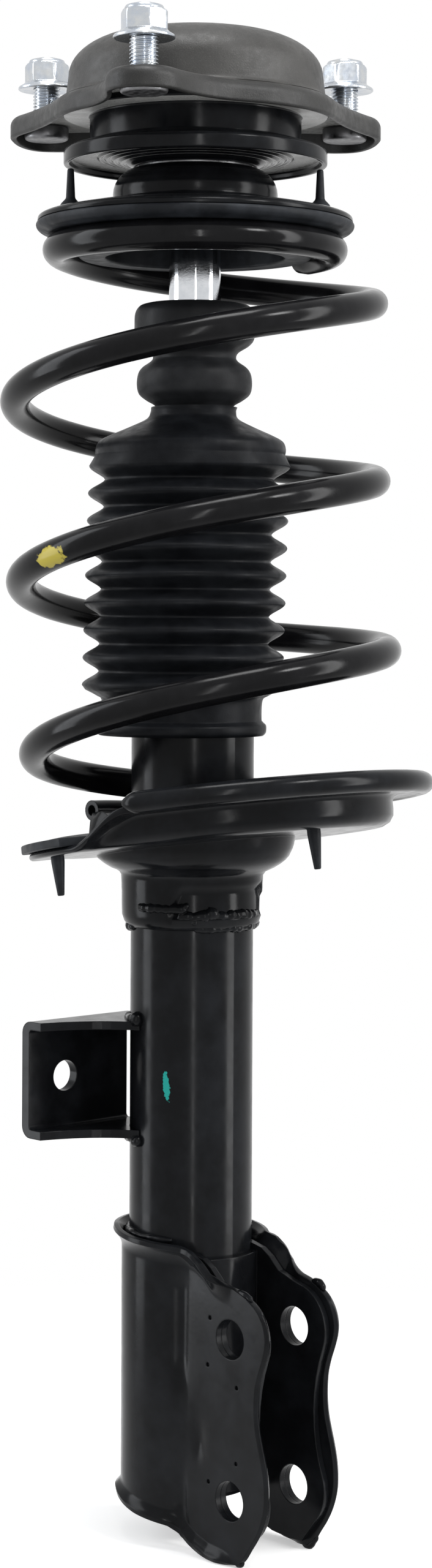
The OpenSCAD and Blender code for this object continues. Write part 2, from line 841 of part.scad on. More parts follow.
module rod_bush() color(polymer) {
    bore_r = rod_r + running_fit;
    ring(bore_r + bush_wall, bore_r, guide_bottom_z + bush_end_gap, guide_top_z - bush_end_gap);
}

module pressure_tube() color(plain_steel) {
    ring(pressure_out_r, pressure_in_r, pressure_bottom_z, pressure_top_z);
}

module base_valve() color(plain_steel) {
    foot_in_r = pressure_out_r - 3;
    slot_w = 8;
    difference() {
        rotate_extrude() polygon([
            [0, valve_flange_z], [foot_in_r, valve_flange_z], [foot_in_r, base_cap_top_z],
            [pressure_out_r, base_cap_top_z], [pressure_out_r, pressure_bottom_z],
            [pressure_in_r - fit, pressure_bottom_z],
            [pressure_in_r - fit, pressure_bottom_z + valve_plug_h],
            [0, pressure_bottom_z + valve_plug_h]
        ]);
        for (i = [0:valve_port_count - 1])
            polar(valve_port_circle_r, i * 360 / valve_port_count, valve_flange_z - cut)
                cylinder(r = valve_port_r, h = valve_flange_t + valve_plug_h + 2 * cut);
        for (a = [0, 90])
            rotate([0, 0, a]) translate([-tube_r, -slot_w / 2, base_cap_top_z - cut])
                cube([2 * tube_r, slot_w, valve_foot_h - 1 + cut]);
    }
}

module base_cap() color(steel_black) {
    dish = 1.5;
    rotate_extrude() polygon([
        [0, tube_bottom_z + dish], [tube_in_r - 7, tube_bottom_z + dish], [tube_in_r - 4, tube_bottom_z],
        [tube_in_r - fit, tube_bottom_z], [tube_in_r - fit, base_cap_top_z], [0, base_cap_top_z]
    ]);
}

// Frame of the tilted pan: origin over the pan's centre, in the plane of the rim
module pan_frame() {
    translate([pan_offset, 0, -pan_drop]) rotate([0, -pan_tilt, 0]) children();
}

module sector(from, to) {
    rotate([0, 0, from]) rotate_extrude(angle = to - from) children();
}

// Plan of floor or pad: a disc that reaches further out where the pan is open
module pan_plan(disc, reach, from, to) {
    far = 2 * reach;
    circle(disc);
    intersection() {
        circle(reach);
        polygon([[0, 0], far * [cos(from), sin(from)], far * [cos(to), sin(to)]]);
    }
}

// Wall and ledge of the pan, as a half section
module pan_wall_section() {
    root_z = pan_floor_z + pan_sheet / 2;
    polygon([
        [pan_wall_r - pan_sheet, root_z], [pan_wall_r, root_z], [pan_wall_r, ledge_z],
        [bead_circle_r, ledge_z], [bead_circle_r, ledge_z + pan_sheet],
        [pan_wall_r - pan_sheet, ledge_z + pan_sheet]
    ]);
}

// Step from the ledge down to the open front of the pan
module pan_step() {
    blade = 0.5;
    root_r = pan_wall_r - pan_sheet / 2;
    hull() {
        rotate([0, 0, ledge_from]) translate([root_r, 0, pan_floor_z + 0.5])
            cube([bead_circle_r - 1 - root_r, blade, ledge_z + pan_sheet - pan_floor_z - 1]);
        rotate([0, 0, tongue_to]) translate([root_r, -blade, pan_floor_z + 0.5])
            cube([tongue_r - 1 - root_r, blade, pan_sheet - 1]);
    }
}

// Cone and collar that carry the pan on the tube, filled
module hub_form() {
    rotate_extrude() polygon([
        [0, collar_bottom_z], [tube_r + fit + collar_wall, collar_bottom_z],
        [tube_r + fit + collar_wall, -hub_foot_drop - 2], [hub_foot_r, -hub_foot_drop],
        [hub_top_r, hub_top_z], [0, hub_top_z]
    ]);
}

// Room inside cone and collar, for the tube
module hub_room() {
    skin = pan_sheet / cos(atan2(hub_mouth_drop - hub_foot_drop, hub_mouth_r - hub_foot_r) + 90);
    rotate_extrude() polygon([
        [0, collar_bottom_z - cut], [tube_r + fit, collar_bottom_z - cut],
        [tube_r + fit, -hub_foot_drop - 2], [hub_foot_r - skin, -hub_foot_drop],
        [hub_top_r - skin, hub_top_z], [hub_top_r - skin, hub_top_z + 2 * hub_overrun],
        [0, hub_top_z + 2 * hub_overrun]
    ]);
}

// Floor of the pan with its flat tongue, and the cone and collar below it, open for the tube
module pan_floor() {
    block = 220;
    difference() {
        union() {
            pan_frame() translate([0, 0, pan_floor_z]) linear_extrude(pan_sheet)
                pan_plan(pan_wall_r - pan_seam, tongue_r, wall_end - 1, tongue_to);
            intersection() {
                hub_form();
                pan_frame() translate([-block / 2, -block / 2, pan_floor_z + pan_sheet / 2 - block])
                    cube(block);
            }
        }
        hub_room();
        rotate([0, 0, window_angle])
            translate([0, -window_w / 2, collar_bottom_z + (collar_h - window_h) / 2])
                cube([hub_mouth_r, window_w, window_h]);
    }
}

// Wall, ledge and rolled bead of the pan, in the pan's frame
module pan_rim() {
    sector(ledge_from, wall_end + 360) pan_wall_section();
    sector(rim_from, wall_end + 360 - pan_seam) translate([bead_circle_r, bead_z]) circle(bead_r);
    pan_step();
}

module lower_spring_seat() color(steel_black) {
    difference() {
        union() {
            pan_floor();
            pan_frame() pan_rim();
        }
        pan_frame() for (p = pad_peg_places)
            polar(p[0], p[1], pan_floor_z - cut) cylinder(r = pad_peg_r + fit, h = pan_sheet + 2 * cut);
    }
}

module lower_isolator() color(rubber_black) {
    floor_top = pan_floor_z + pan_sheet;
    pad_top = floor_top + lower_pad_t;
    lining_r = pan_wall_r - pan_sheet - fit;
    pan_frame() {
        translate([0, 0, floor_top]) linear_extrude(lower_pad_t) difference() {
            pan_plan(lining_r - lining_t / 2, tongue_pad_r, wall_end + 1, tongue_to - 1);
            circle(lower_pad_in_r);
        }
        sector(rim_from + 1, wall_end + 359) polygon([
            [lining_r - lining_t, pad_top - 1], [lining_r, pad_top - 1], [lining_r, lining_top_z],
            [lining_r - lining_t, lining_top_z]
        ]);
        for (p = pad_peg_places)
            polar(p[0], p[1]) rotate_extrude() polygon([
                [0, pan_floor_z - pad_peg_len], [pad_peg_tip_r, pan_floor_z - pad_peg_len],
                [pad_peg_r, pan_floor_z - 2], [pad_peg_r, floor_top + 1], [0, floor_top + 1]
            ]);
    }
}

// Quadratic curve from a to c, pulled towards b, without its last point
function bend(a, b, c, n) = [
    for (i = [0:n - 1])
        let (t = i / n)
        (1 - t) * (1 - t) * a + 2 * t * (1 - t) * b + t * t * c
];

// Plan of the link bracket's flanges: near end, concave edge to the tube, then back to the web
function link_plan() = concat(
    [[-link_web_x, link_y_far], [-link_web_x, link_y_near]],
    bend([-link_web_x + link_end_w, link_y_near], link_hip, link_root, 10),
    [link_root, [link_root[0], link_root[1] + 8], [-18, link_y_far]]
);

// Side view of the folded channel, open towards +X
function link_fold(inset) =
    let (
        r = link_bend_r - inset,
        x = -link_web_x + inset,
        h = link_h / 2 - inset
    )
    concat(
        [[0, h]],
        arc([x + r, h - r], r, 90, 180, 6),
        [[x, h - r]],
        arc([x + r, r - h], r, 180, 270, 6),
        [[x + r, -h], [0, -h]]
    );

module link_bracket() color(steel_black) {
    difference() {
        intersection() {
            translate([0, link_y_far, link_z]) rotate([90, 0, 0])
                linear_extrude(link_y_far - link_y_near) difference() {
                    polygon(link_fold(0));
                    translate([cut, 0]) polygon(link_fold(link_sheet));
                }
            translate([0, 0, link_z - link_h]) linear_extrude(2 * link_h) polygon(link_plan());
        }
        translate([0, 0, link_z - link_h]) cylinder(r = tube_r + fit, h = 2 * link_h);
        translate([-link_web_x - cut, link_hole_y, link_z]) rotate([0, 90, 0])
            cylinder(d = link_hole_d, h = link_sheet + 2 * cut);
    }
}

// Upper edge of an ear, from the sleeve to the upper bolt
function ear_top(inset) = [
    [10, sleeve_top_z - 3 - inset], [bolt_x - 28, sleeve_top_z - 3.3 - inset],
    [bolt_x - 20, sleeve_top_z - 5 - inset], [bolt_x - 15, sleeve_top_z - 8 - inset],
    [bolt_x - 9.5, bolt_high_z + ear_r + 3.5 - inset], [bolt_x - 2, bolt_high_z + ear_r + 1 - inset]
];

// Lower edge of an ear, from a corner under the lower bolt to the sleeve
function ear_bottom(inset) = [
    [bolt_x + 4.5, bolt_low_z - ear_r - 4.7 + inset], [bolt_x - 2.5, bolt_low_z - ear_r - 5 + inset],
    [bolt_x - 12.5, bolt_low_z - ear_r - 4 + inset], [bolt_x - 20.5, bolt_low_z - ear_r - 1.5 + inset],
    [bolt_x - 28.5, bolt_low_z - ear_r + 3 + inset], [10, tube_bottom_z - 5 + inset]
];

// Side view of an ear: a lobe round each bolt, with a waist between them
function ear_outline(inset) =
    let (
        r = ear_r - inset,
        half = bolt_spacing / 2,
        waist = waist_x - inset - bolt_x,
        hollow = (half * half + waist * waist - r * r) / (2 * (r - waist)),
        reach = waist + hollow,
        turn = atan2(half, reach)
    )
    concat(
        ear_top(inset),
        arc([bolt_x, bolt_high_z], r, 75, -turn, 12),
        arc([bolt_x + reach, bolt_low_z + half], hollow, 180 - turn, 180 + turn, 8),
        arc([bolt_x, bolt_low_z], r, turn, -ear_corner, 10),
        [[bolt_x, bolt_low_z] + r * [cos(ear_corner), -sin(ear_corner)]],
        ear_bottom(inset)
    );

// Plate standing across Y, its outline in X and Z
module across(y, t) {
    translate([0, y + t, 0]) rotate([90, 0, 0]) linear_extrude(t) children();
}

module bolt_holes() {
    for (z = [bolt_low_z, bolt_high_z])
        translate([bolt_x, ear_face_y + cut, z]) rotate([90, 0, 0])
            cylinder(d = bolt_hole_d, h = 2 * (ear_face_y + cut));
}

module tube_room() {
    translate([0, 0, tube_bottom_z - 2 * ear_r]) cylinder(r = tube_r + fit, h = sleeve_h + 3 * ear_r);
}

module knuckle_bracket() color(steel_black) {
    in_r = tube_r + fit;
    out_r = in_r + sleeve_wall;
    lip_r = out_r + sleeve_flare;
    low_lip_z = tube_bottom_z;
    fold_top = [for (i = [0:4]) ear_top(0)[i]];
    fold_low = [for (i = [1:5]) ear_bottom(0)[i]];
    difference() {
        union() {
            difference() {
                rotate_extrude() polygon([
                    [in_r, low_lip_z + 3], [in_r, sleeve_top_z - 3],
                    [lip_r - sleeve_wall, sleeve_top_z], [lip_r, sleeve_top_z],
                    [out_r, sleeve_top_z - sleeve_flare_h], [out_r, low_lip_z + sleeve_flare_h],
                    [lip_r, low_lip_z], [lip_r - sleeve_wall, low_lip_z]
                ]);
                translate([0, -ear_y, tube_bottom_z - cut])
                    cube([lip_r + cut, 2 * ear_y, sleeve_h + 2 * cut]);
            }
            for (side = [0, 1]) mirror([0, side, 0]) {
                across(ear_y, ear_sheet) polygon(ear_outline(0));
                across(ear_y, ear_sheet + fold_w)
                    polygon(concat(fold_top, [for (i = [4:-1:0]) fold_top[i] - [0, ear_sheet]]));
                across(ear_y, ear_sheet + fold_w)
                    polygon(concat(fold_low, [for (i = [4:-1:0]) fold_low[i] + [0, ear_sheet]]));
            }
        }
        tube_room();
        bolt_holes();
        for (side = [0, 1]) mirror([0, side, 0])
            across(ear_face_y - press_depth, press_depth + cut)
                polygon(concat(
                    arc([press_x, press_z + press_half], press_r, 0, 180, 10),
                    arc([press_x, press_z - press_half], press_r, 180, 360, 10)
                ));
    }
}

module knuckle_liner() color(steel_black) {
    in_r = tube_r + fit;
    web_top_z = sleeve_top_z - liner_top_drop;
    web_low_z = tube_bottom_z + liner_inset;
    difference() {
        union() {
            intersection() {
                ring(in_r + ear_sheet, in_r - cut, web_low_z, web_top_z);
                translate([0, -ear_y, web_low_z - cut])
                    cube([2 * tube_r, 2 * ear_y, web_top_z - web_low_z + 2 * cut]);
            }
            for (side = [0, 1]) mirror([0, side, 0])
                across(liner_y, ear_sheet) polygon(ear_outline(liner_inset));
        }
        tube_room();
        bolt_holes();
    }
}

mount_housing();
mount_rubber();
mount_core();
mount_base_plate();
mount_studs();
tower_nuts();
rod_nut();
rod_washer();
bearing_upper_race();
bearing_cage();
bearing_balls();
bearing_lower_race();
upper_spring_seat();
upper_isolator();
coil_spring();
jounce_bumper();
dust_boot();
piston_rod();
rebound_stop();
piston();
piston_band();
piston_nut();
outer_tube();
tube_cap();
rod_seal();
rod_guide();
rod_bush();
pressure_tube();
base_valve();
base_cap();
lower_spring_seat();
lower_isolator();
link_bracket();
knuckle_bracket();
knuckle_liner();
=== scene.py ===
"""Looks of a loaded front strut: finishes for the CAD pieces, and full meshes for those that show most."""
import math

import bmesh
import bpy
import numpy as np
from mathutils import Matrix, Vector


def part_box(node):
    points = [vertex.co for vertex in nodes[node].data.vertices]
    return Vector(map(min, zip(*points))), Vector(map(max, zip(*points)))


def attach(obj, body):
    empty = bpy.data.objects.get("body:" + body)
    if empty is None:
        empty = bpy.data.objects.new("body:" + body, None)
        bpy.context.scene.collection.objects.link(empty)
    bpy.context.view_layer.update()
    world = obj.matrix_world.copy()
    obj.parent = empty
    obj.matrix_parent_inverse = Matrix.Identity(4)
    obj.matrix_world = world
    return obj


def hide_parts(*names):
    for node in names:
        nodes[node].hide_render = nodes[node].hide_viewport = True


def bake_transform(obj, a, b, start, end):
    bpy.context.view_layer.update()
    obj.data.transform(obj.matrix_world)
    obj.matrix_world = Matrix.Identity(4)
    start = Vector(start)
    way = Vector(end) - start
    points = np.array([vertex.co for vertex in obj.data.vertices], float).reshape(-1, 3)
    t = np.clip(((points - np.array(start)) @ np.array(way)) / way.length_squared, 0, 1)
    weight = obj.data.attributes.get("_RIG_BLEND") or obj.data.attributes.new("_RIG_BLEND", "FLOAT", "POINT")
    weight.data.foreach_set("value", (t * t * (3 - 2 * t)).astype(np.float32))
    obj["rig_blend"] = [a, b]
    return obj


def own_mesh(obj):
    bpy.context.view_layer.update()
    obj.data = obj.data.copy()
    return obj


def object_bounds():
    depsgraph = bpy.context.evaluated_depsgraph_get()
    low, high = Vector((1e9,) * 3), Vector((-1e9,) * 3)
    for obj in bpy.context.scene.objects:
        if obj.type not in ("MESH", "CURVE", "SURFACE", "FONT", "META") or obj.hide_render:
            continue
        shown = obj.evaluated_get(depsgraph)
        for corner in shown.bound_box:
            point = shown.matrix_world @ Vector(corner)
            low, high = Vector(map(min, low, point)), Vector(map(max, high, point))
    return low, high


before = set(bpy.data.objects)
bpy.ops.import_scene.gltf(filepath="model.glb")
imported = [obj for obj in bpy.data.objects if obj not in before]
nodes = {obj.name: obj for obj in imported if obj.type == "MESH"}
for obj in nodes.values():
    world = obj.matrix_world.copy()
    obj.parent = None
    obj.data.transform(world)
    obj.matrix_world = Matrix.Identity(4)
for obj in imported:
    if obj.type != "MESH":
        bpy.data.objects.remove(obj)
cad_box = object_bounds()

MM = 0.001


def top_of(node):
    """Height of a node's upper end."""
    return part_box(node)[1][2]


def foot_of(node):
    """Height of a node's lower end."""
    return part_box(node)[0][2]


# Sizes, in metres, in the shared frame

STUD_CIRCLE_R = 80 * MM
STUD_ANGLES = (82, 192, 302)
STUD_R = 6 * MM
THREAD_PITCH = 1.5 * MM
TUBE_R = 26 * MM

# Coil spring
WIRE_R = 6.3 * MM
END_COIL_R = 58.5 * MM
MID_COIL_R = 76 * MM
TURNS = 4.44
FLAT_TOP, FLAT_BOTTOM = 0.8, 0.44
MID_SAG = 3.8 * MM
COIL_BOW = 0.9 * MM
DOT_TURN, DOT_UP, DOT_STRETCH = 2.490, 0.4, 1.5
EASE_TURNS = 0.25
WIRE_END_ANGLE = 85
# Where along the wire, in turns, it sags, widens and narrows, and over how many turns
SAG_FROM, SAG_TO, SAG_OVER = 1.1, TURNS - 1.34, 0.5
WIDEN_FROM, WIDEN_OVER = 0.65, 0.45
NARROW_FROM, NARROW_OVER = TURNS - 0.84, 0.32
PAD_COLLAR_H = 10 * MM
PAD_SEAT_Z = foot_of("upper_isolator") + PAD_COLLAR_H
COIL_TOP_Z = PAD_SEAT_Z - WIRE_R

# Tilted pan that carries the lower end of the spring
PAN_CENTRE = Vector((18 * MM, 0, -292.6 * MM))
PAN_TILT = math.radians(8.7)
PAN_FRAME = Matrix.Translation(PAN_CENTRE) @ Matrix.Rotation(-PAN_TILT, 4, "Y")
PAN_FLOOR_TOP = -18 * MM
PAD_T = 3.5 * MM
PAD_LIP_TOP = -7 * MM
PAD_IN_R, PAD_WALL_R, PAD_TONGUE_R = 49 * MM, 67.9 * MM, 86 * MM
RIM_FROM, WALL_END, TONGUE_TO = -69, 180, -91
WIRE_SEAT_GAP = 0.4 * MM
COIL_END_Z = PAN_CENTRE.z + (PAN_FLOOR_TOP + PAD_T + WIRE_SEAT_GAP + WIRE_R) / math.cos(PAN_TILT)


# Mesh helpers

def new_object(name, data):
    """An object in the scene."""
    obj = bpy.data.objects.new(name, data)
    bpy.context.scene.collection.objects.link(obj)
    return obj


def object_from(name, mesh, material, body, smooth_deg=40):
    """A mesh object with one material that rides on a CAD body."""
    obj = new_object(name, mesh)
    mesh.materials.append(material)
    mesh.shade_smooth()
    mesh.set_sharp_from_angle(angle=math.radians(smooth_deg))
    if body:
        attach(obj, body)
    return obj


def closed_mesh(name, verts, faces):
    """Mesh with doubled points merged and all faces turned outward."""
    mesh = bpy.data.meshes.new(name)
    mesh.from_pydata([tuple(v) for v in verts], [], faces)
    work = bmesh.new()
    work.from_mesh(mesh)
    bmesh.ops.remove_doubles(work, verts=work.verts, dist=1e-7)
    bmesh.ops.recalc_face_normals(work, faces=work.faces)
    work.to_mesh(mesh)
    work.free()
    return mesh


def loft(name, rings, run_closed=False):
    """Mesh through rings of equally many points. A run that doesn't close on itself has capped ends."""
    count, size = len(rings), len(rings[0])
    verts = [p for ring in rings for p in ring]
    faces = []
    for i in range(count if run_closed else count - 1):
        a, b = i * size, (i + 1) % count * size
        for j in range(size):
            k = (j + 1) % size
            faces.append((a + j, a + k, b + k, b + j))
    if not run_closed:
        faces.append(tuple(reversed(range(size))))
        faces.append(tuple((count - 1) * size + j for j in range(size)))
    return closed_mesh(name, verts, faces)


def revolve(name, profile, segments=128):
    """Mesh of a closed half section, given as (radius, z), turned about Z."""
    rings = []
    for i in range(segments):
        a = 2 * math.pi * i / segments
        rings.append([(r * math.cos(a), r * math.sin(a), z) for r, z in profile])
    return loft(name, rings, run_closed=True)


def rows_at(z, rows):
    """(radius, z) points from rows in millimetres, their heights counted from z."""
    return [(r * MM, z + h * MM) for r, h in rows]


def rounded(points, radius, steps=5):
    """Closed (r, z) outline with its corners rounded by arcs of about the given radius."""
    out, n = [], len(points)
    for i in range(n):
        p = Vector(points[i])
        to_last, to_next = Vector(points[i - 1]) - p, Vector(points[(i + 1) % n]) - p
        reach = min(radius, to_last.length * 0.45, to_next.length * 0.45)
        a, b = p + to_last.normalized() * reach, p + to_next.normalized() * reach
        for k in range(steps + 1):
            t = k / steps
            out.append(tuple((1 - t) ** 2 * a + 2 * t * (1 - t) * p + t * t * b))
    return out


def smooth_line(points, steps=6):
    """Open line through (r, z) points, curved by Catmull-Rom."""
    p = [2 * np.array(points[0]) - np.array(points[1])] + [np.array(q) for q in points]
    p.append(2 * np.array(points[-1]) - np.array(points[-2]))
    out = []
    for i in range(1, len(p) - 2):
        for k in range(steps):
            t = k / steps
            out.append(tuple(0.5 * (2 * p[i] + (p[i + 1] - p[i - 1]) * t
                + (2 * p[i - 1] - 5 * p[i] + 4 * p[i + 1] - p[i + 2]) * t ** 2
                + (3 * p[i] - p[i - 1] - 3 * p[i + 1] + p[i + 2]) * t ** 3)))
    out.append(tuple(points[-1]))
    return out


def tube_rings(centres, radii, sides):
    """Rings round a line of points, kept upright by the Z axis."""
    rings = []
    c = np.array(centres)
    along = np.gradient(c, axis=0)
    for p, t, r in zip(c, along, radii):
        t = t / np.linalg.norm(t)
        side = np.cross(t, (0, 0, 1))
        side = side / np.linalg.norm(side)
        up = np.cross(side, t)
        angles = 2 * np.pi * np.arange(sides) / sides
        rings.append([p + r * (math.cos(a) * side + math.sin(a) * up) for a in angles])
    return rings


def further_finish(mesh, finish, chosen):
    """Gives one more finish to the faces that a test chooses."""
    mesh.materials.append(finish)
    for face in mesh.polygons:
        if chosen(face):
            face.material_index = len(mesh.materials) - 1


def flat_under(above):
    """Test for the faces that look straight down, above a height."""
    return lambda face: face.normal.z < -0.93 and face.center.z > above


def joined(name, meshes):
    """One mesh from several."""
    work = bmesh.new()
    for m in meshes:
        work.from_mesh(m)
        bpy.data.meshes.remove(m)
    mesh = bpy.data.meshes.new(name)
    work.to_mesh(mesh)
    work.free()
    return mesh


def around(r, deg):
    """Placing at a radius and an angle about Z."""
    return Matrix.Rotation(math.radians(deg), 4, "Z") @ Matrix.Translation((r, 0, 0))


def moved(mesh, matrix):
    """The same mesh in another place."""
    mesh.transform(matrix)
    return mesh


# Materials

def material(name):
    """New node material with its tree and shader."""
    mat = bpy.data.materials.new(name)
    mat.use_nodes = True
    tree = mat.node_tree
    return mat, tree, tree.nodes["Principled BSDF"]


def feed(node, key, value):
    """Sets an input of a shader node: a socket is linked to it, anything else becomes its value."""
    if isinstance(value, bpy.types.NodeSocket):
        node.id_data.links.new(value, node.inputs[key])
    else:
        node.inputs[key].default_value = value


def worked(tree, kind, operation, *values):
    """Result of one operation of a Math or VectorMath node."""
    node = tree.nodes.new(kind)
    node.operation = operation
    for i, value in enumerate(values):
        feed(node, i, value)
    return node.outputs["Value"]


def noise(tree, scale, detail=2.0, rough=0.5, stretch=None):
    """Noise in the object's own metres: scale is in features a metre."""
    place = tree.nodes.new("ShaderNodeTexCoord").outputs["Object"]
    if stretch:
        shape = tree.nodes.new("ShaderNodeMapping")
        feed(shape, "Scale", stretch)
        feed(shape, "Vector", place)
        place = shape.outputs["Vector"]
    tex = tree.nodes.new("ShaderNodeTexNoise")
    for key, value in (("Vector", place), ("Scale", scale), ("Detail", detail), ("Roughness", rough)):
        feed(tex, key, value)
    return tex.outputs["Fac"]


def spread(tree, value, low, high, to_low, to_high):
    """Maps low..high of a value to to_low..to_high, clamped."""
    node = tree.nodes.new("ShaderNodeMapRange")
    feed(node, "Value", value)
    for key, number in zip(("From Min", "From Max", "To Min", "To Max"), (low, high, to_low, to_high)):
        feed(node, key, number)
    return node.outputs["Result"]


def mixed(tree, factor, a, b):
    """Colour between a and b by a factor. Either may be a colour or a socket."""
    node = tree.nodes.new("ShaderNodeMix")
    node.data_type = "RGBA"
    feed(node, "Factor", factor)
    for key, value in (("A", a), ("B", b)):
        index = next(i for i, s in enumerate(node.inputs) if s.name == key and s.type == "RGBA")
        feed(node, index, (*value, 1) if isinstance(value, tuple) else value)
    return next(s for s in node.outputs if s.type == "RGBA")


def bumped(tree, shader, layers, edge):
    """Bump from (height, depth in metres) layers over the normal, whose edges are eased by edge."""
    normal = None
    if edge:
        bevel = tree.nodes.new("ShaderNodeBevel")
        bevel.samples = 6
        feed(bevel, "Radius", edge)
        normal = bevel.outputs["Normal"]
    for height, depth in layers:
        node = tree.nodes.new("ShaderNodeBump")
        feed(node, "Strength", 1)
        feed(node, "Distance", depth)
        feed(node, "Height", height)
        if normal:
            feed(node, "Normal", normal)
        normal = node.outputs["Normal"]
    feed(shader, "Normal", normal)


def surface(name, colours, patches, gloss, layers, edge=None, gloss_level=None):
    """Material of two colours in patches, with uneven gloss and bumps, each by a noise of its own.

    patches is (noise, low, high, most), gloss is (noise, least, most roughness), layers are (noise, depth),
    and a noise is a tuple of what noise() takes after the tree."""
    mat, tree, shader = material(name)
    spots, low, high, most = patches
    feed(shader, "Base Color", mixed(tree, spread(tree, noise(tree, *spots), low, high, 0, most), *colours))
    spots, low, high = gloss
    feed(shader, "Roughness", spread(tree, noise(tree, *spots), 0.3, 0.7, low, high))
    if gloss_level:
        feed(shader, "Specular IOR Level", gloss_level)
    bumped(tree, shader, [(noise(tree, *spots), depth) for spots, depth in layers], edge)
    return mat


def with_mark(mat, colour, coverage):
    """Lays a colour over a material's own: coverage is a socket, 1 where the colour is."""
    shader = mat.node_tree.nodes["Principled BSDF"]
    under = shader.inputs["Base Color"].links[0].from_socket
    feed(shader, "Base Color", mixed(mat.node_tree, coverage, under, colour))
    return mat


def paint(name, base, dusty, rough, peel, gloss_level=0.09):
    """Paint with orange peel, faint dust and slightly uneven gloss."""
    return surface(name, (base, dusty), ((55, 6, 0.62), 0.42, 0.78, 1),
        ((120, 4, 0.6), rough - 0.05, rough + 0.07),
        [((520,), peel), ((90,), peel * 2)], 0.7 * MM, gloss_level)


def speckled(name, base, fleck):
    """Matte coating with fine pale flecks and a sandy surface."""
    mat = surface(name, (base, fleck), ((60, 4), 0.35, 0.7, 0.35), ((300,), 0.40, 0.54),
        [((1500, 3, 0.6), 0.10 * MM), ((150,), 0.15 * MM)], 1.2 * MM, 0.3)
    tree = mat.node_tree
    return with_mark(mat, fleck, spread(tree, noise(tree, 2600, 2, 0.7), 0.58, 0.72, 0, 1))


def rubber(name, base, bloom, rough, gloss_level=0.11):
    """Moulded rubber with a pale bloom and fine grain."""
    return surface(name, (base, bloom), ((70, 5, 0.65), 0.4, 0.75, 1), ((220, 3), rough - 0.07, rough + 0.1),
        [((1400, 2, 0.6), 0.04 * MM), ((110,), 0.12 * MM)], None, gloss_level)


def plated(name, base, tint, rough, grain=None):
    """Bare or plated metal, its gloss and tint a little uneven, with an optional direction of grain."""
    mat = surface(name, (base, tint), ((180, 4, 0.6), 0.35, 0.7, 1),
        ((420, 4, 0.6, grain), rough * 0.7, rough * 1.4), [((700, 3, 0.6, grain), 0.015 * MM)], 0.35 * MM)
    feed(mat.node_tree.nodes["Principled BSDF"], "Metallic", 1)
    return mat


def plastic(name, base, rough):
    """Natural moulded polymer."""
    darker = tuple(c * 0.8 for c in base)
    return surface(name, (base, darker), ((90, 4), 0.35, 0.7, 1), ((300, 3), rough - 0.05, rough + 0.08),
        [((900,), 0.03 * MM)], 0.4 * MM)


BLACK = (0.0045, 0.0048, 0.0055)
BLACK_DUST = (0.011, 0.012, 0.014)
paint_black = paint("black_paint", BLACK, BLACK_DUST, 0.17, 0.010 * MM)
paint_tube = paint("tube_paint", BLACK, BLACK_DUST, 0.20, 0.008 * MM)
paint_spring = paint("spring_coat", (0.004, 0.004, 0.0045), (0.009, 0.009, 0.010), 0.16, 0.008 * MM, 0.11)
# Pale grey for the faces that look straight down: a painted reflection of the pale surround at a grazing
# angle
painted_reflection_under = paint("painted_reflection_coat", (0.32, 0.32, 0.31), (0.40, 0.40, 0.39), 0.26, 0.006 * MM, 0.3)
mount_coat = speckled("mount_coat", (0.021, 0.0205, 0.0195), (0.070, 0.068, 0.064))
# Darker copy of the mount coat for the rolled edge and skirt: painted shade
skirt_coat_painted_shade = speckled("skirt_coat_painted_shade", (0.009, 0.009, 0.0088), (0.034, 0.033, 0.031))
rubber_boot = rubber("boot_rubber", (0.0055, 0.006, 0.0072), (0.013, 0.0142, 0.0165), 0.38, 0.07)
rubber_foam = rubber("bumper_rubber", (0.010, 0.0105, 0.0115), (0.020, 0.021, 0.023), 0.46)
rubber_pad = rubber("pad_rubber", (0.009, 0.010, 0.012), (0.026, 0.029, 0.034), 0.48)
zinc = plated("zinc_plate", (0.46, 0.50, 0.56), (0.58, 0.59, 0.59), 0.22)
chrome = plated("hard_chrome", (0.66, 0.675, 0.70), (0.58, 0.60, 0.63), 0.08, (1, 1, 6))
steel = plated("turned_steel", (0.52, 0.52, 0.53), (0.40, 0.40, 0.41), 0.32, (1, 1, 8))
# Dark metal for the stud heads under the flange: painted shade
stud_head_painted_shade = plated("stud_head_painted_shade", (0.13, 0.13, 0.135), (0.20, 0.20, 0.205), 0.42)
polymer = plastic("natural_polymer", (0.62, 0.58, 0.48), 0.42)

MARK_ANGLE, MARK_LEAN = math.radians(-66.6), math.radians(6)
MARK_SIZE = (1.5 * MM, 6 * MM)
MARK_PLACE = Vector((TUBE_R * math.cos(MARK_ANGLE), TUBE_R * math.sin(MARK_ANGLE), -414.5 * MM))


def within(tree, vector, size, ragged):
    """1 where a vector is shorter than a size, with a ragged edge."""
    edge = spread(tree, noise(tree, ragged), 0.3, 0.7, -0.25 * size, 0.25 * size)
    length = worked(tree, "ShaderNodeVectorMath", "LENGTH", vector)
    total = worked(tree, "ShaderNodeMath", "ADD", length, edge)
    return spread(tree, total, 0.9 * size, 1.05 * size, 1, 0)


def tube_tick():
    """A short brushed stroke on the tube."""
    tree = paint_tube.node_tree
    local = tree.nodes.new("ShaderNodeMapping")
    local.vector_type = "TEXTURE"
    feed(local, "Vector", tree.nodes.new("ShaderNodeTexCoord").outputs["Object"])
    feed(local, "Location", nodes["outer_tube"].matrix_world.inverted() @ MARK_PLACE)
    feed(local, "Rotation", (MARK_LEAN, 0, MARK_ANGLE))
    feed(local, "Scale", (1, *MARK_SIZE))
    with_mark(paint_tube, (0.02, 0.30, 0.26), within(tree, local.outputs["Vector"], 1.0, 900))


tube_tick()

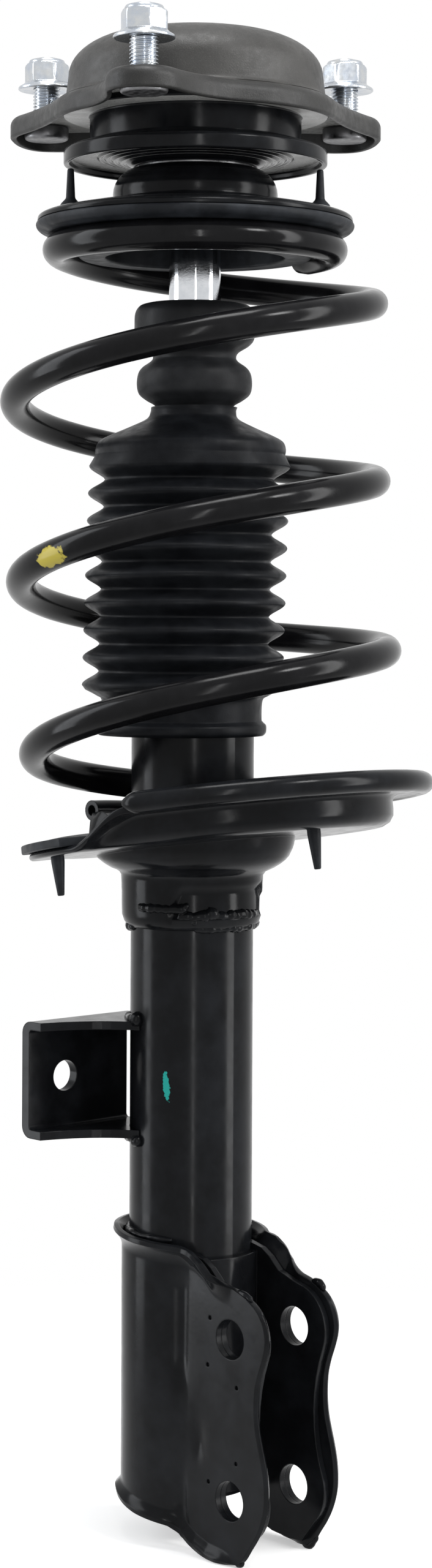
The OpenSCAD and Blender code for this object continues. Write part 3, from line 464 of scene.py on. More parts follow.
FINISHES = {
    mount_coat: ["mount_housing"],
    paint_black: ["mount_base_plate", "upper_spring_seat", "base_cap", "lower_spring_seat", "link_bracket",
                  "knuckle_bracket", "knuckle_liner"],
    paint_tube: ["outer_tube"],
    paint_spring: ["coil_spring"],
    rubber_pad: ["mount_rubber", "upper_isolator", "jounce_bumper", "dust_boot", "rebound_stop", "rod_seal",
                 "lower_isolator"],
    zinc: ["mount_studs", "tower_nuts", "rod_nut", "rod_washer"],
    chrome: ["piston_rod", "bearing_balls"],
    steel: ["mount_core", "bearing_upper_race", "bearing_lower_race", "piston", "piston_nut", "rod_guide",
            "pressure_tube", "base_valve"],
    polymer: ["bearing_cage", "piston_band", "tube_cap", "rod_bush"],
}
for finish, names in FINISHES.items():
    for node in names:
        nodes[node].data.materials.clear()
        nodes[node].data.materials.append(finish)


# Coil spring: one wire, small flat end coils, wide coils between them, bending onto the tilted pan

def eased(t):
    """Smooth step from 0 to 1."""
    t = np.clip(t, 0, 1)
    return t * t * (3 - 2 * t)


def soft(x, w):
    """Ramp that is 0 up to -w and x from w on, with a parabola between."""
    return np.where(x < -w, 0, np.where(x > w, x, (x + w) ** 2 / (4 * w)))


def coil_line(rings):
    """Points along the wire and each point's share of the way down."""
    u = np.linspace(0, TURNS, rings)
    lift_from, lift_to = FLAT_TOP, TURNS - FLAT_BOTTOM
    span = COIL_TOP_Z - COIL_END_Z
    drop = span * (soft(u - lift_from, EASE_TURNS) - soft(u - lift_to, EASE_TURNS)) / (lift_to - lift_from)
    drop += MID_SAG * (eased((u - SAG_FROM) / SAG_OVER) - eased((u - SAG_TO) / SAG_OVER))
    share = drop / span
    z = COIL_TOP_Z - drop
    widen = eased((u - WIDEN_FROM) / WIDEN_OVER) - eased((u - NARROW_FROM) / NARROW_OVER)
    r = END_COIL_R + (MID_COIL_R - END_COIL_R) * widen
    a = np.radians(WIRE_END_ANGLE) - 2 * np.pi * u
    lean = PAN_TILT * share
    bow = COIL_BOW * np.sin(np.pi * np.clip(share, 0, 1))
    x = PAN_CENTRE.x * share ** 2 + r * np.cos(a) * np.cos(lean) - bow
    return np.stack([x, r * np.sin(a) - bow, z + r * np.cos(a) * np.sin(lean)], axis=1), share


def coil_spring():
    rings, sides = 620, 28
    line, share = coil_line(rings)
    end_taper = np.minimum(1, 0.86 + 0.14 * np.minimum(np.arange(rings), np.arange(rings)[::-1]) / 2)
    mesh = loft("spring_wire", tube_rings(line, WIRE_R * end_taper, sides))
    obj = object_from("spring_wire", mesh, paint_spring, None, 60)
    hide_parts("coil_spring")
    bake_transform(obj, "upper_seat", "damper_tube", start=(0, 0, COIL_TOP_Z), end=(0, 0, COIL_END_Z))
    # Each ring of the wire moves as one, so that the wire stays round when the coils close
    weights = np.repeat(share, sides).astype(np.float32)
    mesh.attributes["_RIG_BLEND"].data.foreach_set("value", weights)
    paint_dot(mesh, line, sides)


def paint_dot(mesh, line, sides):
    """A dab of yellow on the wire's outer side, placed along and round the wire, so that it stays there."""
    run = np.concatenate([[0], np.cumsum(np.linalg.norm(np.diff(line, axis=0), axis=1))])
    run -= np.interp(DOT_TURN / TURNS * (len(line) - 1), np.arange(len(line)), run)
    round_it = (2 * np.pi * np.arange(sides) / sides - np.pi - DOT_UP) * WIRE_R
    places = np.zeros((len(line), sides, 3), dtype=np.float32)
    places[:, :, 0] = run[:, None] / DOT_STRETCH
    places[:, :, 1] = round_it[None, :]
    mark = mesh.attributes.new("dot_place", "FLOAT_VECTOR", "POINT")
    mark.data.foreach_set("vector", places.ravel())
    tree = paint_spring.node_tree
    source = tree.nodes.new("ShaderNodeAttribute")
    source.attribute_name = "dot_place"
    with_mark(paint_spring, (0.47, 0.39, 0.065), within(tree, source.outputs["Vector"], 4.8 * MM, 350))


coil_spring()


# Jounce bumper and dust boot

BUMPER_TOP = top_of("jounce_bumper")
BUMPER_FOOT = foot_of("jounce_bumper")
BUMPER_BORE = 11.3 * MM
BOOT_TOP = top_of("dust_boot")
BOOT_FOOT = foot_of("dust_boot")
RIDGE_R, GROOVE_R = 42.8 * MM, 35.8 * MM
RIDGE_PITCH = 11.6 * MM
RIDGES = 9
FIRST_RIDGE = BUMPER_TOP - 70 * MM
BOOT_WALL = 1.8 * MM
BOOT_LEAN = Vector((-3.4, -3.6)) * MM


def bumper():
    """Waisted bumper, its outline given as (drop from the top, radius) in millimetres."""
    drops = [(1.2, 20.5), (2.2, 23.4), (5.2, 25.3), (10.5, 25.6), (15.6, 25.4), (18.6, 23.4), (21.6, 18.8),
             (23.8, 17.7), (25.6, 18.6), (28.2, 22.2), (31, 24.0), (35.5, 24.5), (39.4, 23.6), (42, 20.6),
             (44, 17.2), (45.4, 16.5), (49, 16.5), (52, 18.5), (58, 21.5), (66, 21.2), (73, 19.5), (75, 18.5),
             (76, 17)]
    line = smooth_line([(r * MM, BUMPER_TOP - d * MM) for d, r in drops])
    profile = line + [(BUMPER_BORE, BUMPER_FOOT), (BUMPER_BORE, BUMPER_TOP - drops[0][0] * MM)]
    obj = object_from("bumper_foam", revolve("bumper_foam", profile), rubber_foam, "bump_stop", 50)
    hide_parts("jounce_bumper")
    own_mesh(obj)


def boot():
    """Neck, shoulder, ribs and skirt of the dust boot."""
    neck_z = BOOT_TOP - 2 * MM
    last_ridge = FIRST_RIDGE - (RIDGES - 1) * RIDGE_PITCH
    upper = smooth_line(rows_at(neck_z, [(18.3, 2), (18.2, 0), (19.6, -3), (26.5, -6.5), (34.5, -10),
        (39, -12.5), (40.4, -15.5), (40.3, -18.4)]))
    ribs = []
    steps = 14
    for i in range((RIDGES - 1) * steps + 1):
        wave = 0.5 + 0.5 * math.cos(2 * math.pi * i / steps)
        ribs.append((GROOVE_R + (RIDGE_R - GROOVE_R) * wave ** 0.8, FIRST_RIDGE - RIDGE_PITCH * i / steps))
    skirt = rows_at(last_ridge, [(36.5, -4.5), (34.2, -6.5), (34, -14), (34.6, -15.5), (36, -17),
        (36, -19.8)])
    lower = smooth_line([(RIDGE_R - 1.5 * MM, last_ridge - 2 * MM)] + skirt + [(35 * MM, BOOT_FOOT)])
    line = upper + ribs + lower
    profile = line + [(r - BOOT_WALL, z) for r, z in reversed(line)]
    mesh = revolve("boot_bellows", profile, 144)
    # The boot hangs loosely from its neck and leans a little to one side
    for v in mesh.vertices:
        hang = max(0, (BOOT_TOP - v.co.z) / (BOOT_TOP - BOOT_FOOT)) ** 0.6
        v.co.x += BOOT_LEAN.x * hang
        v.co.y += BOOT_LEAN.y * hang
    obj = object_from("boot_bellows", mesh, rubber_boot, "bump_stop", 75)
    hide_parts("dust_boot")
    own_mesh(obj)


bumper()
boot()


# Rubber of the mount, upper spring seat, and the pads above and below the spring

RIM_END_RISE = 5.5 * MM


def pan_point(r, angle, z):
    """Point of the pan by its own axis. Its edge rises towards the far end of the rim."""
    from_end = abs((math.degrees(angle) + 360) % 360 - 180)
    z += RIM_END_RISE * float(eased((r - 66 * MM) / (12 * MM)) * (1 - eased(from_end / 50)))
    return PAN_FRAME @ Vector((r * math.cos(angle), r * math.sin(angle), z))


def mount_rubber():
    rows = [(12.5, -14), (42, -14), (42, -4), (51.9, -4), (51.9, 6), (46, 10), (30, 7), (15.5, 2), (12.5, 2)]
    mesh = revolve("mount_rubber_body", rounded(rows_at(0, rows), 2 * MM), 96)
    obj = object_from("mount_rubber_body", mesh, rubber_pad, "top_mount")
    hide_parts("mount_rubber")


CUP_R, CUP_TOP_Z, CUP_ROUND, CUP_SHEET = 35 * MM, top_of("upper_spring_seat"), 11 * MM, 2.5 * MM
CUP_FOOT_Z = -41 * MM
SEAT_R, RIM_Z = 67 * MM, -51.6 * MM
ROD_HOLE_R = 12.5 * MM
PEG_CIRCLE_R, PEG_ANGLES = 53 * MM, (47, 227)
LOWER_PEGS = ((75, -112), (56, -4))


def upper_seat():
    """Cup and round plate in one pressing, the plate drooping to a turned-down rim."""
    def shoulder(r, turns):
        r0, z0 = CUP_R - CUP_ROUND, CUP_TOP_Z - CUP_ROUND
        return [(r0 + r * math.sin(t), z0 + r * math.cos(t)) for t in turns]

    quarter = np.linspace(0, np.pi / 2, 9)
    plate = rows_at(0, [(35.6, -43.4), (38, -44.9), (44, -45.3), (54, -46.4), (62, -48), (65.2, -48.9),
        (66.7, -49.9)])
    flare = smooth_line([(CUP_R, CUP_FOOT_Z)] + plate + [(SEAT_R, RIM_Z)])
    plate = rows_at(0, [(64, -50.9), (61, -50.2), (54, -48.9), (44, -47.9), (36, -47), (33.2, -44.5)])
    under = smooth_line([(64.6 * MM, RIM_Z)] + plate + [(CUP_R - CUP_SHEET, CUP_FOOT_Z)])
    profile = [(ROD_HOLE_R, CUP_TOP_Z)] + shoulder(CUP_ROUND, quarter) + flare + under
    profile += shoulder(CUP_ROUND - CUP_SHEET, quarter[::-1]) + [(ROD_HOLE_R, CUP_TOP_Z - CUP_SHEET)]
    mesh = revolve("seat_pressing", profile, 160)
    obj = object_from("seat_pressing", mesh, paint_black, "upper_seat", 50)
    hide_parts("upper_spring_seat")


def upper_pad():
    """Rubber band under the plate, with a collar inside the upper coil and two pegs through the plate."""
    collar_r, collar_foot = 50.5 * MM, foot_of("upper_isolator")
    band = rows_at(0, [(38, -47.6), (54, -49.2), (63, -50.9)])
    band += rows_at(RIM_Z, [(64.2, 0), (66.6, 0), (67.7, -1.2), (67.4, -2.8), (66, -4.2), (64.4, -4.8)])
    band += rows_at(PAD_SEAT_Z, [(63.6, 0.4), (62.6, 0)])
    band += [(collar_r, PAD_SEAT_Z), (collar_r, collar_foot + 2 * MM), (collar_r - 2 * MM, collar_foot)]
    band += [(38 * MM, collar_foot)]
    parts = [revolve("upper_pad", rounded(band, 1.2 * MM), 160)]
    rows = [(0.05, -49.5), (3, -49.5), (3, -45), (4.6, -45), (4.2, -43.8), (2.0, -41.5), (1.4, -29),
        (0.05, -28.6)]
    peg = rounded(rows_at(0, rows), 0.8 * MM)
    for angle in PEG_ANGLES:
        place = around(PEG_CIRCLE_R, angle)
        parts.append(moved(revolve("peg", peg, 32), place))
    obj = object_from("upper_pad", joined("upper_pad", parts), rubber_pad, "upper_seat")
    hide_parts("upper_isolator")


def lower_pad():
    """Pad on the pan's floor with a lip up its wall, and a flat tongue where the pan is open."""
    floor, top = PAN_FLOOR_TOP, PAN_FLOOR_TOP + PAD_T
    rings = []
    steps = 220
    for i in range(steps):
        a = -180 + 360 * i / steps
        flat = float(eased((a - WALL_END + 360) / 4) * (1 - eased((a - TONGUE_TO + 4) / 4)))
        in_wall = float(eased((a - RIM_FROM - 1) / 4))
        out_r = PAD_WALL_R + (PAD_TONGUE_R - PAD_WALL_R) * flat
        lip = top + (PAD_LIP_TOP - top) * in_wall * (1 - flat)
        section = rounded([(PAD_IN_R, floor), (out_r, floor), (out_r, lip), (out_r - 2 * MM, lip),
            (out_r - 2.1 * MM, top), (PAD_IN_R, top)], 0.7 * MM, 3)
        rings.append([pan_point(r, math.radians(a), z) for r, z in section])
    parts = [loft("lower_pad", rings, run_closed=True)]
    peg = rounded(rows_at(floor, [(0.05, -19), (1.4, -19), (2.8, -5), (2.8, 1), (0.05, 1)]), 0.8 * MM)
    for r, angle in LOWER_PEGS:
        place = around(r * MM, angle)
        parts.append(moved(revolve("peg", peg, 32), PAN_FRAME @ place))
    obj = object_from("lower_pad", joined("lower_pad", parts), rubber_pad, "damper_tube")
    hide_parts("lower_isolator")


mount_rubber()
upper_seat()
upper_pad()
lower_pad()


# Top mount: pressed housing with a rolled edge, base plate with ribs, threaded studs and flange nuts

PILOT_R, DOME_H, DOME_FLAT_R, OPENING_R = 55 * MM, 28 * MM, 24 * MM, 22 * MM
SHOULDER_Z, SHOULDER_R = 10 * MM, 54.1 * MM
FLANGE_R = 61 * MM
# Lobes: distance of the centre, its radius and the radius of the fillets beside it
LOBES = ((76 * MM, 19 * MM, 200 * MM), (76 * MM, 19 * MM, 200 * MM), (79 * MM, 16 * MM, 60 * MM))
FLANGE_FRONT = 317
SKIRT_FOOT, REAR_SKIRT_DROP = foot_of("mount_housing"), 3.2 * MM
SHEET = 3 * MM
EDGE_R, REAR_EDGE_R = 4.8 * MM, 3.0 * MM
REAR_TO, REAR_FADE = 68, 20
PILOT_FILLET_R, BREAK, UNDER_Z = 2.6 * MM, 0.8 * MM, -4 * MM


def arc(centre, r, start, end, n):
    """Points of an arc without its last one."""
    turns = [polar(r, start + (end - start) * i / n) for i in range(n)]
    return [(centre[0] + x, centre[1] + y) for x, y in turns]


def lobe_angles(lobe):
    """Angle from a lobe to the middle of its fillets, and half the turn that the lobe's arc leaves out."""
    centre, round_r, fillet = lobe
    reach = FLANGE_R + fillet
    gap = math.acos((reach ** 2 + centre ** 2 - (round_r + fillet) ** 2) / (2 * reach * centre))
    turn = math.atan2(reach * math.sin(gap), centre - reach * math.cos(gap))
    return math.degrees(gap), math.degrees(turn)


def polar(r, deg):
    """Point at a radius and an angle in degrees."""
    return r * math.cos(math.radians(deg)), r * math.sin(math.radians(deg))


def flange_outline(inset):
    """Disc with one lobe per stud, joined by concave fillets."""
    out = []
    for i, (a, lobe) in enumerate(zip(STUD_ANGLES, LOBES)):
        n = (i + 1) % len(STUD_ANGLES)
        gap, turn = lobe_angles(lobe)
        following = STUD_ANGLES[n] + (360 if n == 0 else 0) - lobe_angles(LOBES[n])[0]
        centre, round_r, fillet = lobe
        reach = FLANGE_R + fillet
        out += arc(polar(reach, a - gap), fillet + inset, a + 180 - gap, a + turn, 16)
        out += arc(polar(centre, a), round_r - inset, a - 180 + turn, a + 180 - turn, 26)
        out += arc(polar(reach, a + gap), fillet + inset, a - turn, a - 180 + gap, 16)
        out += arc((0, 0), FLANGE_R - inset, a + gap, following, 18)
    return out


def housing_rings():
    """Rings round the flange's outline, from the skirt's foot over the dome and back along the inside."""
    plan = flange_outline(0)
    inward = np.array(flange_outline(MM)) - np.array(plan)
    from_rear = np.array([abs((math.degrees(math.atan2(y, x)) - FLANGE_FRONT) % 360 - 180) for x, y in plan])
    rear = eased((REAR_TO - from_rear) / REAR_FADE)
    foot = SKIRT_FOOT - REAR_SKIRT_DROP * rear
    edge_r = EDGE_R + (REAR_EDGE_R - EDGE_R) * rear

    def edge(inset, z):
        """The outline, moved in by an inset, at a height. Either may differ from point to point."""
        at = np.array(plan) + inward * (inset / MM * np.ones(len(plan)))[:, None]
        return [(x, y, h) for (x, y), h in zip(at, z * np.ones(len(plan)))]

    def circle(r, z):
        return [(r * x / math.hypot(x, y), r * y / math.hypot(x, y), z) for x, y in plan]

    def dome(r, h, angles):
        across, rise = r - DOME_FLAT_R, h - SHOULDER_Z
        return [circle(DOME_FLAT_R + across * math.cos(a), SHOULDER_Z + rise * math.sin(a)) for a in angles]

    quarter = np.linspace(0, np.pi / 2, 9)
    rings = [edge(SHEET - 0.4 * MM, foot + 0.2 * MM), edge(BREAK, foot), edge(0, foot + BREAK)]
    rings += [edge(edge_r * (1 - math.cos(a)), -edge_r * (1 - math.sin(a))) for a in quarter]
    rings += [circle(PILOT_R + PILOT_FILLET_R * (1 - math.sin(a)), PILOT_FILLET_R * (1 - math.cos(a)))
        for a in quarter]
    rings += dome(SHOULDER_R, DOME_H, np.linspace(0, np.pi / 2, 17))
    rings += [circle(OPENING_R + BREAK, DOME_H), circle(OPENING_R, DOME_H - BREAK)]
    rings += [circle(OPENING_R, DOME_H - SHEET)]
    rings += dome(SHOULDER_R - SHEET, DOME_H - SHEET, np.linspace(np.pi / 2, 0, 11))
    rings += [circle(PILOT_R - SHEET, z) for z in (6 * MM, UNDER_Z)]
    rings += [edge(SHEET + 1.8 * MM, UNDER_Z), edge(SHEET + 0.5 * MM, UNDER_Z - 0.5 * MM)]
    return rings + [edge(SHEET, UNDER_Z - 1.8 * MM)]


def housing():
    """Lobed flange with a dome and a rolled edge, its skirt deeper and its edge sharper at the rear."""
    mesh = loft("housing_pressing", housing_rings(), run_closed=True)
    obj = object_from("housing_pressing", mesh, mount_coat, "top_mount")
    # Below the flange's top the coat is darker, as painted shade
    further_finish(mesh, skirt_coat_painted_shade, lambda face: face.center.z < -0.9 * MM)
    # The flat underside of the flange gets the pale painted reflection
    further_finish(mesh, painted_reflection_under, flat_under(-6.5 * MM))
    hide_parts("mount_housing")


def base_plate():
    """Neck band and rimmed disc, with ribs on the disc's underside."""
    line = [(42, -4), (56.5, -4), (56.5, -7), (45, -7), (45, -18.6), (47.5, -21), (55, -21), (56, -22),
        (56, -27.6), (53.6, -27.6), (53.2, -24.6), (42, -24), (40.6, -25.4), (39.2, -24.4), (37.6, -25.8),
        (36.2, -24.9), (34.6, -26.3), (33.2, -25.5), (31.6, -26.9), (30.2, -26.2), (28.4, -27.6),
        (26.4, -28.0), (26.4, -28.5), (24.3, -28.5), (24.3, -17), (14, -17), (14, -14), (42, -14)]
    mesh = revolve("base_plate_pressing", rounded(rows_at(0, line), 0.9 * MM, 3), 160)
    obj = object_from("base_plate_pressing", mesh, paint_black, "top_mount", 50)
    # The disc's flat underside gets the pale painted reflection, and the sloped sides of its ribs stay black
    further_finish(mesh, painted_reflection_under, flat_under(-27 * MM))
    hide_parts("mount_base_plate")


def thread_rings(crest_r, depth, low, high, pitch, sides=40, steps=9):
    """Rings of a screw thread: the radius follows the helix."""
    rings = []
    count = max(2, int(round((high - low) / pitch * steps)))
    for i in range(count + 1):
        z = low + (high - low) * i / count
        ring = []
        for k in range(sides):
            phase = (z / pitch - k / sides) % 1
            r = crest_r - depth * min(1, max(0, 1.25 - abs(2 * phase - 1) * 1.5))
            a = 2 * math.pi * k / sides
            ring.append((r * math.cos(a), r * math.sin(a), z))
        rings.append(ring)
    return rings


def disc_ring(r, z, sides=40):
    """Points of a level circle."""
    turns = 2 * np.pi * np.arange(sides) / sides
    return [(r * math.cos(a), r * math.sin(a), z) for a in turns]


def studs():
    """Studs with round heads under the flange, threaded above it, slimmer from just below the nuts."""
    head_z = foot_of("mount_studs")
    parts = []
    shank_top, tip_z = 11.5 * MM, 26 * MM
    for angle in STUD_ANGLES:
        rings = [disc_ring(r * MM, head_z + h * MM) for r, h in
            ((6.5, 0.0), (8.6, 0.05), (9.4, 0.5), (9.75, 1.3), (9.75, 5.2), (9.2, 5.9), (6.4, 6.0),
                (6.4, 9.9))]
        rings += [disc_ring(5.5 * MM, 0.2 * MM)]
        rings += thread_rings(STUD_R, 0.75 * MM, 0.6 * MM, shank_top, THREAD_PITCH)
        rings += thread_rings(STUD_R - 0.2 * MM, 0.7 * MM, shank_top + 0.1 * MM, tip_z - 1.5 * MM,
            THREAD_PITCH)
        rings += [disc_ring(5.1 * MM, tip_z - 1.2 * MM), disc_ring(4.4 * MM, tip_z)]
        place = around(STUD_CIRCLE_R, angle)
        parts.append(moved(loft("stud", rings), place))
    mesh = joined("threaded_studs", parts)
    obj = object_from("threaded_studs", mesh, zinc, "top_mount", 50)
    # The heads under the flange get the darker metal, as painted shade
    further_finish(mesh, stud_head_painted_shade, lambda face: face.center.z < -2 * MM)
    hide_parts("mount_studs")


def nuts():
    """Flange nuts: a hexagon on a round flange, with a crimped crown."""
    top_seat, sides = foot_of("tower_nuts"), 96
    flat_r, bore_r = 8.5, 5.85
    levels = [(12.1, 0, 0), (12.5, 0, 0.3), (12.5, 0, 1.0), (12.1, 0, 1.5), (10.4, 0, 2.5), (9.9, 0, 3.0),
        (9.7, 1, 3.5), (9.7, 1, 10.4), (9.35, 1, 11.0), (8.7, 1, 11.5), (8.1, 0, 11.7), (7.9, 0, 12.5),
        (7.5, 0, 13.1), (6.8, 0, 13.4), (6.2, 0, 13.2), (bore_r, 0, 12.6), (bore_r, 0, 0.6)]
    rings = []
    for r, hexed, z in levels:
        ring = []
        for k in range(sides):
            a = 2 * math.pi * k / sides
            flat = flat_r / math.cos((a + math.pi / 6) % (math.pi / 3) - math.pi / 6)
            reach = min(r, flat) if hexed else r
            ring.append((reach * MM * math.cos(a), reach * MM * math.sin(a), top_seat + z * MM))
        rings.append(ring)
    parts = []
    for angle in STUD_ANGLES:
        place = around(STUD_CIRCLE_R, angle)
        one = [[place @ Vector(v) for v in ring] for ring in rings]
        columns = [[ring[k] for ring in one] for k in range(sides)]
        parts.append(loft("nut", columns, run_closed=True))
    obj = object_from("flange_nuts", joined("flange_nuts", parts), zinc, "tower_nuts", 32)
    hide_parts("tower_nuts")


housing()
base_plate()
studs()
nuts()


# Lower spring seat: one pressing from collar and bowl to the tilted floor, wall and ledge, with a rolled rim

PAN_FLOOR_Z = -21 * MM
PAN_BORE_R, BEAD_BORE_R, BOWL_WALL = 26.1 * MM, 2.4 * MM, 3.4 * MM
BEAD_CIRCLE_R, BEAD_R = 84.5 * MM, 4.5 * MM
# Outlines of bowl and collar as (z, radius) in millimetres
BOWL = [(-328, 30.2), (-326.6, 31), (-325.6, 32.6), (-324.7, 35), (-323, 37.8), (-320.6, 40.8), (-316, 43),
        (-310, 44.2), (-300, 45)]
BOWL_FOOT_Z, BOWL_TOP_Z = BOWL[0][0] * MM, BOWL[-1][0] * MM
COLLAR = [(-349.5, 27.2), (-347.5, 28.8), (-344.8, 29.7), (-342.6, 29.8), (-339, 29.9), (-336.8, 29.9),
          (-335, 29.9), (-333.4, 30), (-331.6, 30), (-329.8, 30.1)]
# Step pressed into the collar and the cut beside it, by angle in degrees and height in millimetres
STEP_R, STEP_SLANT, SLANT_Z = 28.0, 0.9, -344
STEP_FROM, STEP_TO, STEP_FOOT, STEP_TOP = -66, 38, -344.6, -330.4
CUT_FROM, CUT_TO, CUT_TOP = 36, 82, -335.2


def bowl_r(z):
    """Outer radius of the bowl at a height."""
    return float(np.interp(z / MM, [p[0] for p in BOWL], [p[1] for p in BOWL])) * MM


def collar_r(deg, z, r):
    """Outer radius of the collar: pressed in by a step in front, and cut short beside it."""
    in_step = eased((deg - STEP_FROM - STEP_SLANT * (z - SLANT_Z)) / 5) * eased((STEP_TO - deg) / 3)
    in_step *= eased((z - STEP_FOOT) / 1.8) * eased((STEP_TOP - z) / 3)
    cut_short = eased((deg - CUT_FROM) / 3) * eased((CUT_TO - deg) / 3) * eased((CUT_TOP - z) / 2)
    return r + (STEP_R - r) * float(max(in_step, cut_short))


def bowl_meets_floor(angle):
    """Height at which the bowl runs into the underside of the tilted floor."""
    low, high = BOWL_FOOT_Z, BOWL_TOP_Z
    for _ in range(40):
        mid = (low + high) / 2
        x = bowl_r(mid) * math.cos(angle)
        floor = PAN_CENTRE.z + (x - PAN_CENTRE.x) * math.tan(PAN_TILT) + PAN_FLOOR_Z / math.cos(PAN_TILT)
        low, high = (mid, high) if mid < floor else (low, mid)
    return (low + high) / 2


# Angles at which the bead starts and ends and the wall rises, in degrees
BEAD_FROM, BEAD_TO, WALL_FROM, WALL_FADE = -71, 179.6, -93, 22
# Edge of the pan where it has a wall and where it is a tongue, as (radius, z) in millimetres by its own axis
WALLED = [(66, -20.9), (69, -19.4), (70.7, -16.8), (71, -14), (71, -10.8), (71.7, -9.2), (73.5, -8.5),
    (80, -8.5), (83.5, -8.4), (84, -7.0), (83.5, -5.6), (77, -5.5), (70.2, -5.6), (68.4, -6.6), (68, -9),
    (68, -14), (67.2, -16.4), (65, -17.7), (63, -18)]
TONGUE = [(68, -21), (72, -21), (75, -21), (77, -21), (79, -21), (80.6, -21), (81.8, -20.9), (82.6, -20.5),
    (83, -19.8), (83, -19.2), (82.6, -18.5), (81.8, -18.1), (80, -18), (77, -18), (74, -18), (71, -18),
    (68, -18), (65.5, -18), (63, -18)]


def pan_section(deg):
    """Closed section of the pressing at one angle: collar, bowl, floor and rim, and back along the inside."""
    a = math.radians(deg)
    if deg < -120:
        walled = 1 - float(eased((deg + 180) / 4))
    else:
        walled = float(eased((deg - WALL_FROM) / WALL_FADE))
    meet = bowl_meets_floor(a)
    outside = [(collar_r(deg, z, r) * MM, z * MM) for z, r in COLLAR]
    outside += [(bowl_r(z), z) for z in BOWL_FOOT_Z + (meet - BOWL_FOOT_Z) * np.linspace(0, 1, 11)]
    inside = [(max(PAN_BORE_R, bowl_r(z) - BOWL_WALL), z) for z in np.linspace(meet, BOWL_FOOT_Z, 6)]
    inside.append((PAN_BORE_R, COLLAR[0][0] * MM))
    outside, inside = ([Vector((r * math.cos(a), r * math.sin(a), z)) for r, z in side]
        for side in (outside, inside))
    rows = np.array(TONGUE) + (np.array(WALLED) - np.array(TONGUE)) * walled
    rim = [pan_point(r * MM, a, z * MM) for r, z in rows]
    edge = outside[-1]
    lift = Vector((-math.sin(PAN_TILT), 0, math.cos(PAN_TILT))) * SHEET
    floor = [edge.lerp(rim[0], t) for t in (0.06, 0.2, 0.5, 0.8)]
    top = [edge.lerp(rim[0], t) + lift for t in (0.6, 0.15)]
    return outside + floor + rim + top + inside


def rim_bead():
    """Rolled edge of the pan: a hollow tube along its rim, drawn in at its start."""
    outer, inner = [], []
    angles = 2 * np.pi * np.arange(20) / 20
    for k, a in enumerate(np.radians(np.linspace(BEAD_FROM, BEAD_TO, 150))):
        grow = float(eased(k / 4 + 0.45))
        for rings, r in ((outer, BEAD_R * grow), (inner, BEAD_BORE_R * grow)):
            across, up = BEAD_CIRCLE_R + r * np.cos(angles), r * np.sin(angles) - BEAD_R
            rings.append([pan_point(x, a, z) for x, z in zip(across, up)])
    return loft("rim", outer + inner[::-1], run_closed=True)


def lower_seat():
    steps = 288
    sections = [pan_section(-180 + 360 * i / steps) for i in range(steps)]
    mesh = joined("pan_pressing", [loft("lower_seat", sections, run_closed=True), rim_bead()])
    obj = object_from("pan_pressing", mesh, paint_black, "damper_tube", 55)
    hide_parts("lower_spring_seat")


lower_seat()


# Knuckle bracket: one sheet folded round the tube, its edges flared, with an ear on either side

EAR_Y = 20 * MM
SLEEVE_R = 27.7 * MM
BRACKET_ROWS, EAR_COLS, SLEEVE_COLS = 121, 46, 84
BOLT_X, BOLT_LOW, BOLT_HIGH, BOLT_R = 47 * MM, -580 * MM, -514 * MM, 8.15 * MM
PIT_R = 0.9 * MM
# Edges of an ear as (x, z), its pits and flares, the boss at its fold and the crease there, in millimetres
EAR_LEFT_X, FOLD_FOOT_Z, FOLD_TOP_Z, FOLD_MID_Z = 21, -599, -480.7, -542
BOSS_Z, CREASE, FLARE_FOOT, FLARE_TOP = -553, 1.7, 3.2, 5.0
EAR_TOP = [(EAR_LEFT_X, FOLD_TOP_Z), (26.6, -481.8), (31.8, -484.8), (37, -489.4), (44.5, -492.5),
    (50.6, -493.9), (56, -495.8)]
EAR_RIGHT = [(51.5, -605.2), (54.8, -602.4), (58.2, -597.6), (62, -592.2), (65, -586.4), (67, -580),
    (67.5, -574), (66.9, -567), (65.4, -560.6), (63.6, -554.6), (62, -548.5), (61.2, -541), (61.6, -532.6),
    (63.2, -526.1), (65.4, -520.3), (67.1, -514.8), (67.3, -509.8), (65.6, -504.4), (61.9, -499.6),
    EAR_TOP[-1]]
EAR_PITS = [(35, -507), (33.8, -526.5), (51, -533), (50.8, -564), (34.5, -574.5)]
EAR_FOOT = [(EAR_LEFT_X, FOLD_FOOT_Z), (26.5, -602), (34.5, -604.6), (44.5, -605.5), EAR_RIGHT[0]]


def along(points, n):
    """Points spread evenly along a smooth line."""
    fine = np.array(smooth_line(points, 12))
    length = np.concatenate([[0], np.cumsum(np.linalg.norm(np.diff(fine, axis=0), axis=1))])
    at = np.linspace(0, length[-1], n)
    return np.stack([np.interp(at, length, fine[:, k]) for k in range(2)], axis=1)


